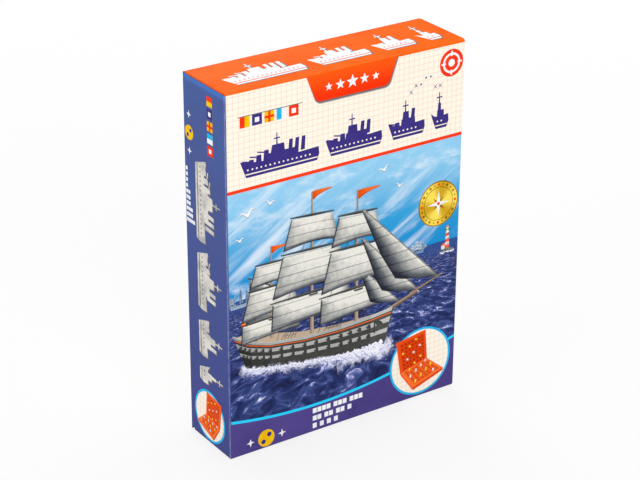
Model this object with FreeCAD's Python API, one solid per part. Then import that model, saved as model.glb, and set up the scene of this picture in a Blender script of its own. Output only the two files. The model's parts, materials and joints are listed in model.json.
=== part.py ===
"""Tuck-end carton of a two-player fleet guessing game, with the game packed inside it.

Millimetres. The origin is at the middle of the bottom, +Z is up, the front panel faces -Y.
The carton is one die-cut sheet, split at every crease that moves. Inside stand two hinged play
cases, one behind the other, with a folded rules leaflet between them.
"""
import FreeCAD
import Part
import os
from math import asin, cos, degrees, pi, radians, sin, sqrt

Vector = FreeCAD.Vector
right_angle = pi / 2
half_fold = right_angle / 2
same_point = 1e-6
rightward = Vector(1, 0, 0)
forward = Vector(0, -1, 0)
rearward = Vector(0, 1, 0)
upward = Vector(0, 0, 1)

# Carton, outside
carton_width = 179.0
carton_depth = 48.5
carton_height = 250.0
board = 1.2

# Carton, folds and flaps
crease_gap = 0.1
stack_gap = 0.2
closure_side_gap = 1.0
tuck_length = 14.0
tuck_side_gap = 4.0
tuck_corner_radius = 8.0
tuck_back_gap = 0.3
tuck_spare_angle = radians(2.0)
tuck_unfold_ratio = 0.3
dust_length = 36.0
dust_front_gap = 1.0
dust_back_gap = 1.6
dust_follow_ratio = 0.5
dust_slope_spare = 0.08
dust_back_slope = 0.09
dust_corner_radius = 4.0
glue_flap_width = 15.0
glue_flap_end_gap = 14.0
glue_flap_slope = 0.35
seam_setback = 0.3

# Play cases, outside and clearances in the carton
case_front_gap = 0.3
case_back_gap = 0.8
case_side_gap = 2.3
case_floor_gap = 0.2
headspace = 21.0
shell = 1.5
case_corner_radius = 6.0
parting_gap = 0.2

# Play cases, peg boards
deck = 1.5
deck_fit = 0.2
ledge_width = 1.5
holes_per_side = 10
grid_side_margin = 19.0
grid_end_margin = 12.0
hole_radius = 1.5

# Play cases, hinge and snap latch
hinge_inset = 8.0
ear_length = 8.0
ear_gap = 0.3
barrel_radius = 3.0
barrel_gap = 0.4
barrel_rise = 0.2
pin_radius = 1.25
pin_fit = 0.1
latch_half_width = 10.0
latch_reach = 5.0
latch_root = 6.0
latch_thickness = 1.4
latch_rim = 2.5
catch_height = 0.9
catch_depth = 1.5
catch_offset = 1.5
latch_gap = 0.25

# Fleet pieces
hull_height = 3.0
bridge_height = 2.0
funnel_height = 1.5
ship_clearance = 0.5
ship_end_gap = 1.2
ship_half_width = 4.2
ship_straight = 1.4
bridge_half_width = 2.4
bridge_end_gap = 3.4
funnel_radius = 1.1
ship_pin_fit = 0.1
ship_seat_gap = 0.1
ship_pin_end_gap = 0.6

# Score pegs
peg_head_radius = 2.2
peg_head_length = 3.0
peg_stem_radius = 1.4
peg_stem_length = 6.5
peg_gap = 0.15
white_peg_rows = 3
yellow_peg_rows = 1
trough_clearance = 6.0

# Rules leaflet, one sheet folded once
leaf = 0.25
leaf_gap = 0.1
leaflet_gap = 0.25
leaflet_side_inset = 13.0
leaflet_top_inset = 18.0

# Fleet on a peg board: length in cells, column and row of the first cell
fleet = [
    (4, 0, 0), (3, 5, 0), (1, 9, 0),
    (3, 0, 2), (2, 4, 2), (2, 7, 2),
    (2, 0, 4), (1, 3, 4), (1, 5, 4), (1, 7, 4),
]
ship_names = {4: "four_deck_ship", 3: "three_deck_ships", 2: "two_deck_ships", 1: "one_deck_ships"}

# Places that follow from the sizes above
left = -carton_width / 2
right = carton_width / 2
front = -carton_depth / 2
back = carton_depth / 2
top = carton_height
dust_top = top - board - stack_gap
tuck_outside = back - board - tuck_back_gap
crease_mid = board * (1 - sqrt(0.5))
closure_reach = tuck_outside - front - crease_mid

# The tuck leans in just far enough for its tip to swing past the back panel as the closure opens
tuck_drop = tuck_length + board
tuck_exit_angle = asin(tuck_drop / closure_reach)
tuck_exit_room = closure_reach * (1 - cos(tuck_exit_angle)) + tuck_back_gap
tuck_lean = (1 + tuck_unfold_ratio) * tuck_exit_angle - asin(tuck_exit_room / tuck_drop) + tuck_spare_angle
tuck_fold_split = (right_angle - tuck_lean) / 2
tuck_inside_tip = tuck_outside - board - tuck_length * sin(tuck_lean)

# The contents share what the flaps leave of the carton
leaflet_thickness = 2 * leaf + leaf_gap
contents_front = front + board + case_front_gap
contents_back = tuck_inside_tip - case_back_gap
case_depth = (contents_back - contents_front - leaflet_thickness - 2 * leaflet_gap) / 2
case_half_width = carton_width / 2 - board - case_side_gap
case_bottom = 2 * board + stack_gap + case_floor_gap
case_top = top - 2 * board - stack_gap - headspace
case_inside = case_half_width - shell
ledge_inside = case_inside - ledge_width

# Layers of one case, from its front face
ship_height = hull_height + bridge_height + funnel_height
deck_space = ship_height + 2 * ship_clearance
ledge = (case_depth - deck_space) / 2 - shell - deck
parting = case_depth / 2
deck_level = shell + ledge
floor_level = case_depth - shell

# Peg trough above the base's peg board
peg_length = peg_head_length + peg_stem_length
peg_row_pitch = 2 * peg_head_radius + peg_gap
trough_height = (white_peg_rows + yellow_peg_rows) * peg_row_pitch + trough_clearance
trough_bottom = case_top - shell - ledge_width - trough_height
deck_bottom = case_bottom + shell + deck_fit
deck_top = trough_bottom - shell - deck_fit
grid_room = min(2 * (case_half_width - grid_side_margin), deck_top - deck_bottom - 2 * grid_end_margin)
grid_pitch = grid_room / holes_per_side
grid_left = -grid_pitch * (holes_per_side - 1) / 2
grid_bottom = deck_bottom + grid_end_margin + grid_pitch / 2
hinge_height = case_bottom + barrel_rise + barrel_radius
ship_nose = (grid_pitch - 2 * ship_end_gap - ship_straight) / 2


def box(x0, x1, y0, y1, z0, z1):
    """A block between two corners."""
    return Part.makeBox(x1 - x0, y1 - y0, z1 - z0, Vector(x0, y0, z0))


def polar(centre, radius, angle):
    """A point on a circle, the angle counted from the first axis of the plane."""
    return (centre[0] + radius * cos(angle), centre[1] + radius * sin(angle))


def prism(plane, start, end, outline):
    """A closed outline pushed from start to end along the axis that its plane lacks.

    Each step of the outline is a point, for a straight side, or a pair of points, for an arc.
    """
    place = {
        "yz": lambda p: Vector(start, p[0], p[1]),
        "xz": lambda p: Vector(p[0], start, p[1]),
        "xy": lambda p: Vector(p[0], p[1], start),
    }[plane]
    push = {
        "yz": Vector(end - start, 0, 0),
        "xz": Vector(0, end - start, 0),
        "xy": Vector(0, 0, end - start),
    }[plane]
    edges = []
    here = outline[0]
    for step in outline[1:] + outline[:1]:
        if isinstance(step[0], tuple):
            edges.append(Part.Arc(place(here), place(step[0]), place(step[1])).toShape())
            here = step[1]
        else:
            if place(here).distanceToPoint(place(step)) > same_point:
                edges.append(Part.LineSegment(place(here), place(step)).toShape())
            here = step
    return Part.Face(Part.Wire(edges)).extrude(push)


def join(shapes):
    """Several touching solids as one, with no seams left inside its faces."""
    return shapes[0].multiFuse(shapes[1:]).removeSplitter()


def slab(half_width, low, high, radius, y0, y1):
    """A plate in the plane of the front panel with four rounded corners."""
    eighth = radius * (1 - sqrt(0.5))
    w = half_width
    outline = [
        (-w + radius, low),
        (w - radius, low), ((w - eighth, low + eighth), (w, low + radius)),
        (w, high - radius), ((w - eighth, high - eighth), (w - radius, high)),
        (-w + radius, high), ((-w + eighth, high - eighth), (-w, high - radius)),
        (-w, low + radius), ((-w + eighth, low + eighth), (-w + radius, low)),
    ]
    return prism("xz", y0, y1, outline)


def upside_down(shape):
    """The same flap at the other end of the carton."""
    return shape.mirror(Vector(0, 0, carton_height / 2), upward)


def folded_wall(outer, inner, low, high):
    """Section of a wall that ends in half of a fold at both ends, the outer face at `outer`."""
    side = pi if outer < inner else 0.0
    turn = -1 if outer < inner else 1
    upper = (inner, high - board)
    lower = (inner, low + board)
    return [
        (outer, low + board),
        (outer, high - board),
        (polar(upper, board, side + turn * half_fold / 2), polar(upper, board, side + turn * half_fold)),
        upper,
        lower,
        polar(lower, board, side - turn * half_fold),
        (polar(lower, board, side - turn * half_fold / 2), (outer, low + board)),
    ]


def corner_post(x, y, start_angle):
    """The rounded upright fold between two panels, its centre on their inner faces."""
    centre = (x, y)
    outline = [
        centre,
        polar(centre, board, start_angle),
        (polar(centre, board, start_angle + half_fold), polar(centre, board, start_angle + right_angle)),
    ]
    return prism("xy", board, top - board, outline)


def carton_sleeve():
    """Front, left, back and right panels, with the glue flap inside the back panel."""
    front_wall = prism("yz", left + board, right - board, folded_wall(front, front + board, 0.0, top))
    side_low = board + stack_gap
    left_section = folded_wall(left, left + board, side_low, dust_top)
    right_section = folded_wall(right, right - board, side_low, dust_top)
    left_wall = prism("xz", front + board, back - board, left_section)
    right_wall = prism("xz", front + board, back - board, right_section)
    back_wall = box(left + board, right - seam_setback, back - board, back, 0.0, top)
    flap_end = glue_flap_end_gap + glue_flap_width * glue_flap_slope
    glue_flap = prism("xz", back - 2 * board, back - board, [
        (right - board, glue_flap_end_gap),
        (right - board, top - glue_flap_end_gap),
        (right - board - glue_flap_width, top - flap_end),
        (right - board - glue_flap_width, flap_end),
    ])
    posts = [
        corner_post(left + board, front + board, 2 * right_angle),
        corner_post(right - board, front + board, 3 * right_angle),
        corner_post(left + board, back - board, right_angle),
    ]
    return join([front_wall, left_wall, right_wall, back_wall, glue_flap] + posts)


def closure_panel():
    """The panel that closes the end, from the front crease to the tuck crease."""
    fold = (front + board + crease_gap, top - board)
    tuck_fold = (tuck_outside - board, top - board)
    split = polar(tuck_fold, board, tuck_fold_split)
    half_split = polar(tuck_fold, board, (tuck_fold_split + right_angle) / 2)
    outline = [
        fold,
        polar(fold, board, right_angle + half_fold),
        (polar(fold, board, right_angle + half_fold / 2), polar(fold, board, right_angle)),
        polar(tuck_fold, board, right_angle),
        (half_split, split),
        tuck_fold,
    ]
    return prism("yz", left + closure_side_gap, right - closure_side_gap, outline)


def tuck_flap():
    """The flap that slides in behind the back panel, folded a little past square."""
    fold = (tuck_outside - board, top - board - crease_gap)
    along = (-sin(tuck_lean), -cos(tuck_lean))
    outer = polar(fold, board, -tuck_lean)
    inner_tip = (fold[0] + tuck_length * along[0], fold[1] + tuck_length * along[1])
    outer_tip = (outer[0] + tuck_length * along[0], outer[1] + tuck_length * along[1])
    outline = [
        fold,
        polar(fold, board, tuck_fold_split),
        (polar(fold, board, (tuck_fold_split - tuck_lean) / 2), outer),
        outer_tip,
        inner_tip,
    ]
    plate = prism("yz", left + tuck_side_gap, right - tuck_side_gap, outline)
    tip_height = min(inner_tip[1], outer_tip[1])
    radius = tuck_corner_radius
    eighth = radius * (1 - sqrt(0.5))
    for side in (-1, 1):
        edge = side * (right - tuck_side_gap)
        corner = prism("xz", front, back, [
            (edge, tip_height - board),
            (edge, tip_height + radius),
            ((edge - side * eighth, tip_height + eighth), (edge - side * radius, tip_height)),
            (edge - side * radius, tip_height - board),
        ])
        plate = plate.cut(corner)
    return plate


def dust_flap(side):
    """A tapered flap under the closure panel, on the left (-1) or the right (1) panel."""
    edge = side * right
    fold = (edge - side * (board + crease_gap), dust_top - board)
    tip = edge - side * dust_length
    outline = [
        fold,
        polar(fold, board, right_angle - side * half_fold),
        (polar(fold, board, right_angle - side * half_fold / 2), polar(fold, board, right_angle)),
        (tip, dust_top),
        (tip, dust_top - board),
    ]
    front_root = front + board + dust_front_gap
    back_root = tuck_outside - board - dust_back_gap
    front_tip = front_root + dust_length * (dust_follow_ratio + dust_slope_spare)
    back_tip = back_root - dust_length * dust_back_slope
    strip = prism("xz", front_root, back_root, outline)
    plan = prism("xy", dust_top - 2 * board, dust_top + board, [
        (edge, front_root),
        (tip, front_tip),
        (tip, back_tip - dust_corner_radius),
        (tip + side * dust_corner_radius, back_tip),
        (edge, back_root),
    ])
    return strip.common(plan)


def rules_leaflet():
    """A sheet folded once, standing between the two cases."""
    y0 = contents_front + case_depth + leaflet_gap
    y1 = y0 + leaflet_thickness
    x0 = -case_half_width + leaflet_side_inset
    x1 = case_half_width - leaflet_side_inset
    outline = [
        (x0, y0), (x1, y0), (x1, y0 + leaf),
        (x0 + leaf, y0 + leaf), (x0 + leaf, y1 - leaf),
        (x1, y1 - leaf), (x1, y1), (x0, y1),
    ]
    return prism("xy", case_bottom, case_top - leaflet_top_inset, outline)


def across(shape):
    """A shape of the case's front half turned over to its rear half."""
    return shape.mirror(Vector(0, parting, 0), rearward)


def hinge_span(side):
    """Both ears' stretch of the hinge line on one side, from its outer to its inner end."""
    outer = side * (case_half_width - hinge_inset)
    inner = outer - side * (2 * ear_length + ear_gap)
    return outer, inner


def hinge_rod(x0, x1, radius):
    """A round rod on the hinge line."""
    return Part.makeCylinder(radius, abs(x1 - x0), Vector(min(x0, x1), parting, hinge_height), rightward)


def half_shell():
    """The front half of a case: face plate, rim and the ledge that its peg board sits on."""
    rim = parting - parting_gap / 2
    corner = case_corner_radius
    body = slab(case_half_width, case_bottom, case_top, corner, 0.0, rim)
    well = slab(case_inside, case_bottom + shell, case_top - shell, corner - shell, deck_level, rim)
    inset = shell + ledge_width
    pocket = slab(ledge_inside, case_bottom + inset, case_top - inset, corner - inset, shell, deck_level)
    body = body.cut(well).cut(pocket)
    room = barrel_radius + barrel_gap
    for side in (-1, 1):
        outer, inner = sorted(hinge_span(side))
        notch = box(outer - barrel_gap, inner + barrel_gap, parting - room, parting + room,
                    case_bottom, hinge_height + room)
        body = body.cut(notch)
    return body


def hinge_ear(x0, x1):
    """A barrel on the hinge line and the web that ties it to the front half's rim."""
    web_start = parting - barrel_radius - barrel_gap - shell
    web_low = case_bottom + barrel_rise
    web = box(min(x0, x1), max(x0, x1), web_start, parting, web_low, web_low + shell)
    ear = hinge_rod(x0, x1, barrel_radius).fuse(web)
    return ear.cut(hinge_rod(x0, x1, pin_radius + pin_fit))


def case_lid():
    """The front half, with the inner hinge ears and the snap latch on its upper rim."""
    pieces = [half_shell()]
    for side in (-1, 1):
        outer, inner = hinge_span(side)
        pieces.append(hinge_ear(inner + side * ear_length, inner))
    window = latch_half_width - latch_rim
    reach = parting + latch_reach
    tongue = box(-latch_half_width, latch_half_width, parting - latch_root, reach,
                 case_top, case_top + latch_thickness)
    relief = box(-latch_half_width, latch_half_width, parting - parting_gap / 2, reach,
                 case_top, case_top + latch_gap)
    slot = box(-window, window, parting + catch_offset - latch_gap,
               parting + catch_offset + catch_depth + latch_gap, case_top, case_top + latch_thickness)
    pieces.append(tongue.cut(relief).cut(slot))
    return join(pieces)


def case_base():
    """The rear half, with the outer hinge ears, the catch and the wall of the peg trough."""
    pieces = [across(half_shell())]
    for side in (-1, 1):
        outer, inner = hinge_span(side)
        pieces.append(across(hinge_ear(outer, outer - side * ear_length)))
    divider_front = case_depth - deck_level - deck
    pieces.append(box(-case_inside, case_inside, divider_front, floor_level,
                      trough_bottom - shell, trough_bottom))
    window = latch_half_width - latch_rim - latch_gap
    pieces.append(box(-window, window, parting + catch_offset, parting + catch_offset + catch_depth,
                      case_top - shell, case_top + catch_height))
    return join(pieces)


def cell(column, row):
    """The centre of a peg hole, across and up."""
    return grid_left + column * grid_pitch, grid_bottom + row * grid_pitch


def peg_board(high):
    """The front half's peg board, up to a given height, with its square of holes."""
    corner = case_corner_radius - shell - deck_fit
    plate = slab(case_inside - deck_fit, deck_bottom, high, corner, deck_level, deck_level + deck)
    drills = []
    for column in range(holes_per_side):
        for row in range(holes_per_side):
            x, z = cell(column, row)
            drills.append(Part.makeCylinder(hole_radius, deck, Vector(x, deck_level, z), rearward))
    return plate.cut(Part.makeCompound(drills))


def hinge_pins():
    """One pin through the two ears on either side."""
    pins = []
    for side in (-1, 1):
        outer, inner = hinge_span(side)
        pins.append(hinge_rod(outer, inner, pin_radius))
    return Part.makeCompound(pins)


def ship(length, column, row):
    """A ship that covers some cells of a row, standing on the base's peg board."""
    x0, z = cell(column, row)
    x1, z = cell(column + length - 1, row)
    seat = case_depth - deck_level - deck - ship_seat_gap
    bow = x1 + grid_pitch / 2 - ship_end_gap
    stern = x0 - grid_pitch / 2 + ship_end_gap
    w = ship_half_width
    bulge = w * sqrt(0.5)
    reach = ship_nose * (1 - sqrt(0.5))
    hull = prism("xz", seat - hull_height, seat, [
        (stern + ship_nose, z - w),
        (bow - ship_nose, z - w),
        ((bow - reach, z - bulge), (bow, z)),
        ((bow - reach, z + bulge), (bow - ship_nose, z + w)),
        (stern + ship_nose, z + w),
        ((stern + reach, z + bulge), (stern, z)),
        ((stern + reach, z - bulge), (stern + ship_nose, z - w)),
    ])
    bridge_front = seat - hull_height - bridge_height
    bridge = box(stern + bridge_end_gap, bow - bridge_end_gap, bridge_front, seat - hull_height,
                 z - bridge_half_width, z + bridge_half_width)
    pieces = [hull, bridge]
    pin_length = deck + ledge + ship_seat_gap - ship_pin_end_gap
    pin = hole_radius - ship_pin_fit
    for i in range(length):
        x, z = cell(column + i, row)
        pieces.append(Part.makeCylinder(funnel_radius, funnel_height, Vector(x, bridge_front, z), forward))
        pieces.append(Part.makeCylinder(pin, pin_length, Vector(x, seat, z), rearward))
    return join(pieces)


def peg_rows(first, count):
    """Rows of score pegs lying in the trough, head to stem, from row `first` up."""
    pitch = peg_length + peg_gap
    per_row = int(2 * (ledge_inside - peg_gap) / pitch)
    y = floor_level - peg_head_radius - peg_gap
    pegs = []
    for row in range(first, first + count):
        z = trough_bottom + peg_gap + peg_head_radius + row * peg_row_pitch
        for i in range(per_row):
            x = -ledge_inside + peg_gap + i * pitch
            head = Part.makeCylinder(peg_head_radius, peg_head_length, Vector(x, y, z), rightward)
            stem = Part.makeCylinder(peg_stem_radius, peg_length, Vector(x, y, z), rightward)
            pegs.append(head.fuse(stem).removeSplitter())
    return Part.makeCompound(pegs)


def play_case():
    """Every piece of one player's case, its front face at y = 0."""
    pieces = {
        "case_lid": case_lid(),
        "case_base": case_base(),
        "lid_grid": peg_board(case_top - shell - deck_fit),
        "base_grid": across(peg_board(deck_top)),
        "hinge_pins": hinge_pins(),
        "white_pegs": peg_rows(0, white_peg_rows),
        "yellow_pegs": peg_rows(white_peg_rows, yellow_peg_rows),
    }
    for length, name in ship_names.items():
        ships = [ship(*place) for place in fleet if place[0] == length]
        pieces[name] = Part.makeCompound(ships)
    return pieces


def carton():
    """The sleeve and the flaps of both ends."""
    pieces = {"carton_sleeve": carton_sleeve()}
    flaps = {
        "closure_panel": closure_panel(),
        "tuck_flap": tuck_flap(),
        "dust_flap_left": dust_flap(-1),
        "dust_flap_right": dust_flap(1),
    }
    for name, flap in flaps.items():
        pieces["top_" + name] = flap
        pieces["bottom_" + name] = upside_down(flap)
    return pieces


def main():
    """Build every piece and write one file for each."""
    pieces = carton()
    pieces["rules_leaflet"] = rules_leaflet()
    rear_shift = case_depth + leaflet_thickness + 2 * leaflet_gap
    for name, shape in play_case().items():
        pieces["front_" + name] = shape.translated(Vector(0, contents_front, 0))
        pieces["rear_" + name] = shape.translated(Vector(0, contents_front + rear_shift, 0))
    os.makedirs("parts", exist_ok=True)
    for name, shape in sorted(pieces.items()):
        shape.exportStep("parts/" + name + ".step")
        print(name, "solids", len(shape.Solids), "volume", round(shape.Volume, 1), "valid", shape.isValid())
    print("tuck leans", round(degrees(tuck_lean), 2), "case depth", round(case_depth, 3))
    return pieces


main()
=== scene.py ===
# %% [markdown]
# # A printed game carton that opens at both ends
# The object is the retail carton of a fleet guessing game: one sheet of thin fluted board, printed,
# cut, creased and glued into a sleeve, with a closure panel, a tuck flap and two dust flaps at each
# end. Two plastic play cases stand inside it. The imported model already holds every piece at its real
# size. This lesson dresses it: the board gets rounded folds, its print and its bare edges.

# %% Load the frame
import json
from math import asin, cos, pi, radians, sin
from random import Random

import bmesh
import bpy
from mathutils import Matrix, Vector


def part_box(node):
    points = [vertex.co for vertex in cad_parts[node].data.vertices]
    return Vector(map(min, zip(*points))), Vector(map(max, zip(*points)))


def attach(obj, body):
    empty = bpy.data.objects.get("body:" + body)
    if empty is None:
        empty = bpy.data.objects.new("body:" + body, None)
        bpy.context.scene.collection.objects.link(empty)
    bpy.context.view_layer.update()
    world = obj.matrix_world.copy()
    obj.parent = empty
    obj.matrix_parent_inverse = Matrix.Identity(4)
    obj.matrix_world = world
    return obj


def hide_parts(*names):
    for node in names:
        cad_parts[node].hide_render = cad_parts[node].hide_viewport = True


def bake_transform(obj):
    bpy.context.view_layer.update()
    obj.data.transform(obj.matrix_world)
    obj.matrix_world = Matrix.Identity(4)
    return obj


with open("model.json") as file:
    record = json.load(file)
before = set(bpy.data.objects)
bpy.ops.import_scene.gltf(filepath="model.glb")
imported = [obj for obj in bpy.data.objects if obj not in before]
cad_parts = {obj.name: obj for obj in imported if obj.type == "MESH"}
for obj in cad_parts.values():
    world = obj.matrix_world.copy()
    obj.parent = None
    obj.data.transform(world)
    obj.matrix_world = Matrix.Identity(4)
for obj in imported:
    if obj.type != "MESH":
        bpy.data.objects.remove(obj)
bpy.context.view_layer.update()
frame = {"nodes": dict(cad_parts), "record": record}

MM = 0.001

# %% [markdown]
# ## Sizes
# The board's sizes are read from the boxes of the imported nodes, so walls, folds and panels follow if the
# carton changes size. They are in metres, as the frame is. The print is laid out in millimetres on each
# panel, as a print shop would do it, and scaled at the end.

# %% The carton's main sizes
sleeve_low, sleeve_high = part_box("carton_sleeve")
left, front = sleeve_low.xy
right, back, top = sleeve_high
closure_low, closure_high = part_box("top_closure_panel")
tuck_low, tuck_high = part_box("top_tuck_flap")
dust_low, dust_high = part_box("top_dust_flap_left")
board = closure_high.z - closure_low.z
dust_top = dust_high.z
tuck_fold = tuck_high.y - board
tuck_length = 14 * MM
tuck_lean = asin((tuck_fold - tuck_low.y) / tuck_length)
width, depth, height = ((b - a) / MM for a, b in zip(sleeve_low, sleeve_high))
print("carton", round(width, 1), "x", round(depth, 1), "x", round(height, 1), "mm")
print("board", round(board / MM, 2), "mm thick")

# %% [markdown]
# ## Camera
# The photograph was taken from the left, above the carton, with a long lens. The place, the direction
# and the focal length below come from fitting a pinhole camera to the carton's corners in the picture.

# %% Camera
def add_object(name, data):
    """A new object in the scene for a mesh, a lamp or a camera."""
    made = bpy.data.objects.new(name, data)
    bpy.context.scene.collection.objects.link(made)
    return made


def facing(way):
    """The turn of a camera or a lamp that looks along a way."""
    return way.to_track_quat("-Z", "Y").to_matrix().to_4x4()


camera_place = Vector((-0.66505, -0.97663, 0.68127))
camera_forward = Vector((0.50650, 0.74892, -0.42729))
camera_roll = Matrix.Rotation(radians(0.2548), 4, "Z")
camera_data = bpy.data.cameras.new("photo_camera")
camera_data.sensor_width = 36.0
camera_data.lens = 113.99
camera = add_object("photo_camera", camera_data)
camera.matrix_world = Matrix.Translation(camera_place) @ facing(camera_forward) @ camera_roll
bpy.context.scene.camera = camera
print("camera", round((camera_place - Vector((0, 0, top / 2))).length, 2), "m from the carton")

# %% [markdown]
# ## Shader helpers
# Node trees are easier to read when each step is one call. `node` adds a node, `feed` sets or links a
# socket, `calc` does arithmetic, and `band` turns a height into a mask with a soft edge. A colour as a
# screen shows it goes through `srgb`, because shaders work with linear light.

# %% Shader helpers
def srgb(red, green, blue):
    """A screen colour of 0 to 255 as the linear colour that a shader works with."""
    parts = [v / 255 for v in (red, green, blue)]
    return tuple(p / 12.92 if p <= 0.04045 else ((p + 0.055) / 1.055) ** 2.4 for p in parts) + (1.0,)


def node(tree, kind, **settings):
    made = tree.nodes.new("ShaderNode" + kind)
    for name, value in settings.items():
        setattr(made, name, value)
    return made


def feed(tree, socket, value):
    """Put a number or colour, or another node's output, into a socket."""
    if isinstance(value, bpy.types.NodeSocket):
        tree.links.new(value, socket)
    else:
        socket.default_value = value


def feed_all(tree, sockets, values):
    for socket, value in zip(sockets, values):
        feed(tree, socket, value)


def calc(tree, operation, *values):
    made = node(tree, "Math", operation=operation)
    feed_all(tree, made.inputs, values)
    return made.outputs["Value"]


def band(tree, value, low, high):
    """0 where the value is under low, 1 where it is over high, and smooth between."""
    made = node(tree, "MapRange", interpolation_type="SMOOTHSTEP")
    feed_all(tree, made.inputs, (value, low, high, 0.0, 1.0))
    return made.outputs["Result"]


print("a screen grey of 188 is", round(srgb(188, 188, 188)[0], 2), "to a shader")

# %% [markdown]
# ## Colours, noise and groups
# Colours are laid over each other with `mix` or picked from the stops of a `ramp`, and `noise` gives the
# unevenness that every real surface has. An effect that many materials use is built once as a group,
# with `start_group`, and `place_group` puts it in a material with values of its own.

# %% Colours, noise and groups
def mix(tree, mask, under, over):
    """One colour over another, where the mask is 1."""
    made = node(tree, "Mix", data_type="RGBA")
    feed_all(tree, (made.inputs[0], made.inputs[6], made.inputs[7]), (mask, under, over))
    return made.outputs[2]


def ramp(tree, value, stops):
    """A colour for each value, from stops of a place and a screen colour."""
    made = node(tree, "ValToRGB")
    feed(tree, made.inputs["Fac"], value)
    marks = made.color_ramp.elements
    while len(marks) < len(stops):
        marks.new(1.0)
    for mark, (place, *colour) in zip(marks, stops):
        mark.position = place
        mark.color = srgb(*colour)
    return made.outputs["Color"]


def vector(tree, *values):
    made = node(tree, "CombineXYZ")
    feed_all(tree, made.inputs, values)
    return made.outputs["Vector"]


def noise(tree, where, scale, detail=4.0, roughness=0.55, distortion=0.0):
    made = node(tree, "TexNoise")
    names = ("Vector", "Scale", "Detail", "Roughness", "Distortion")
    feed_all(tree, [made.inputs[name] for name in names], (where, scale, detail, roughness, distortion))
    return made.outputs["Fac"]


def start_group(name, inputs, outputs):
    """An empty node group with named sockets, and the nodes that stand for them inside."""
    tree = bpy.data.node_groups.new(name, "ShaderNodeTree")
    for way, sockets in (("INPUT", inputs), ("OUTPUT", outputs)):
        for label, kind in sockets.items():
            tree.interface.new_socket(label, in_out=way, socket_type="NodeSocket" + kind)
    return tree, tree.nodes.new("NodeGroupInput").outputs, tree.nodes.new("NodeGroupOutput").inputs


def place_group(tree, group, **values):
    """A group in a tree, with its inputs set by name."""
    made = node(tree, "Group", node_tree=bpy.data.node_groups[group])
    feed_all(tree, [made.inputs[name] for name in values], values.values())
    return made.outputs


print("shader helpers:", [helper.__name__ for helper in (mix, ramp, vector, noise, start_group, place_group)])

# %% [markdown]
# ## Floor
# The carton was shot against plain white. A wide pale disc is the floor. What the camera sees of it is
# mostly white light of its own, with a share of plain matte left in so that a soft shadow stays under
# the carton. Only rays that come straight from the camera, a mirror or glass see that light.

# %% Floor
floor_glow = 0.78
floor_grey = (0.86, 0.86, 0.86, 1)
floor_radius, floor_drop = 4.0, 0.2 * MM


def seen_directly(tree):
    """1 for rays from the camera, a mirror or clear glass, 0 for rays that carry light."""
    path = node(tree, "LightPath").outputs
    clear = calc(tree, "MAXIMUM", path["Is Glossy Ray"], path["Is Transmission Ray"])
    return calc(tree, "MAXIMUM", path["Is Camera Ray"], clear)


def pale_floor():
    made = bpy.data.materials.new("pale_floor")
    made.use_nodes = True
    tree = made.node_tree
    tree.nodes.clear()
    matte = node(tree, "BsdfDiffuse")
    matte.inputs["Color"].default_value = floor_grey
    blend = node(tree, "MixShader")
    share = calc(tree, "MULTIPLY", seen_directly(tree), floor_glow)
    feed_all(tree, blend.inputs, (share, matte.outputs[0], node(tree, "Emission").outputs[0]))
    feed(tree, node(tree, "OutputMaterial").inputs["Surface"], blend.outputs[0])
    return made


floor_bm = bmesh.new()
bmesh.ops.create_circle(floor_bm, cap_ends=True, radius=floor_radius, segments=64)
bmesh.ops.translate(floor_bm, verts=floor_bm.verts, vec=(0, 0, -floor_drop))
floor_mesh = bpy.data.meshes.new("floor")
floor_bm.to_mesh(floor_mesh)
floor_bm.free()
floor_mesh.materials.append(pale_floor())
floor = add_object("floor", floor_mesh)
print("floor", 2 * floor_radius, "m across")

# %% [markdown]
# ## World and lamps
# The world is white to the camera and dimmer as a lamp. Five broad lamps light the top and the four
# sides about evenly, at a level where a printed colour comes out about as it is written.

# %% World and lamps
ambient = 0.5
scene = bpy.context.scene
scene.view_settings.view_transform = "Standard"
scene.world = bpy.data.worlds.new("studio")
scene.world.use_nodes = True
tree = scene.world.node_tree
background = tree.nodes["Background"].inputs
background["Color"].default_value = (1, 1, 1, 1)
feed(tree, background["Strength"], calc(tree, "MULTIPLY_ADD", seen_directly(tree), 1 - ambient, ambient))

softboxes = (
    ("front", (-0.5, -1.9, 1.0), 1.4, 16.5), ("top", (0.1, 0.1, 2.2), 1.8, 10.0),
    ("left", (-1.8, -0.2, 0.8), 1.2, 8.0), ("right", (1.8, 0.2, 0.8), 1.2, 8.0),
    ("back", (0.5, 1.9, 1.0), 1.4, 16.0))
for side, place, size, power in softboxes:
    lamp = bpy.data.lights.new(side + "_softbox", "AREA")
    lamp.size = size
    lamp.energy = power
    aim = facing(Vector((0, 0, top / 2)) - Vector(place))
    add_object(lamp.name, lamp).matrix_world = Matrix.Translation(place) @ aim
print("studio:", len(softboxes), "lamps and a world of strength", ambient)

# %% [markdown]
# ## Where a point lies on the sheet
# The flaps bend when the carton opens, so a pattern tied to the object's own coordinates would slide
# over the fold. Each new piece therefore keeps its resting place in an attribute named `rest`, and
# every print reads that, in millimetres.

# %% Group: place on the carton
tree, group_in, group_out = start_group(
    "place on carton", {}, {"Place": "Vector", "X": "Float", "Y": "Float", "Z": "Float"})
rest = node(tree, "Attribute", attribute_name="rest")
in_mm = node(tree, "VectorMath", operation="SCALE")
in_mm.inputs["Scale"].default_value = 1 / MM
feed(tree, in_mm.inputs[0], rest.outputs["Vector"])
split = node(tree, "SeparateXYZ")
feed(tree, split.inputs[0], in_mm.outputs["Vector"])
feed(tree, group_out["Place"], in_mm.outputs["Vector"])
for axis in "XYZ":
    feed(tree, group_out[axis], split.outputs[axis])
print("group:", tree.name)

# %% [markdown]
# ## Varnish
# Offset print on this board has a clear varnish. It is never quite even: it dulls in patches, and the
# flutes of the board show through as a very fine washboard. The group gives a roughness and a height
# for a Bump node, and both are shared by every printed surface.

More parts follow.
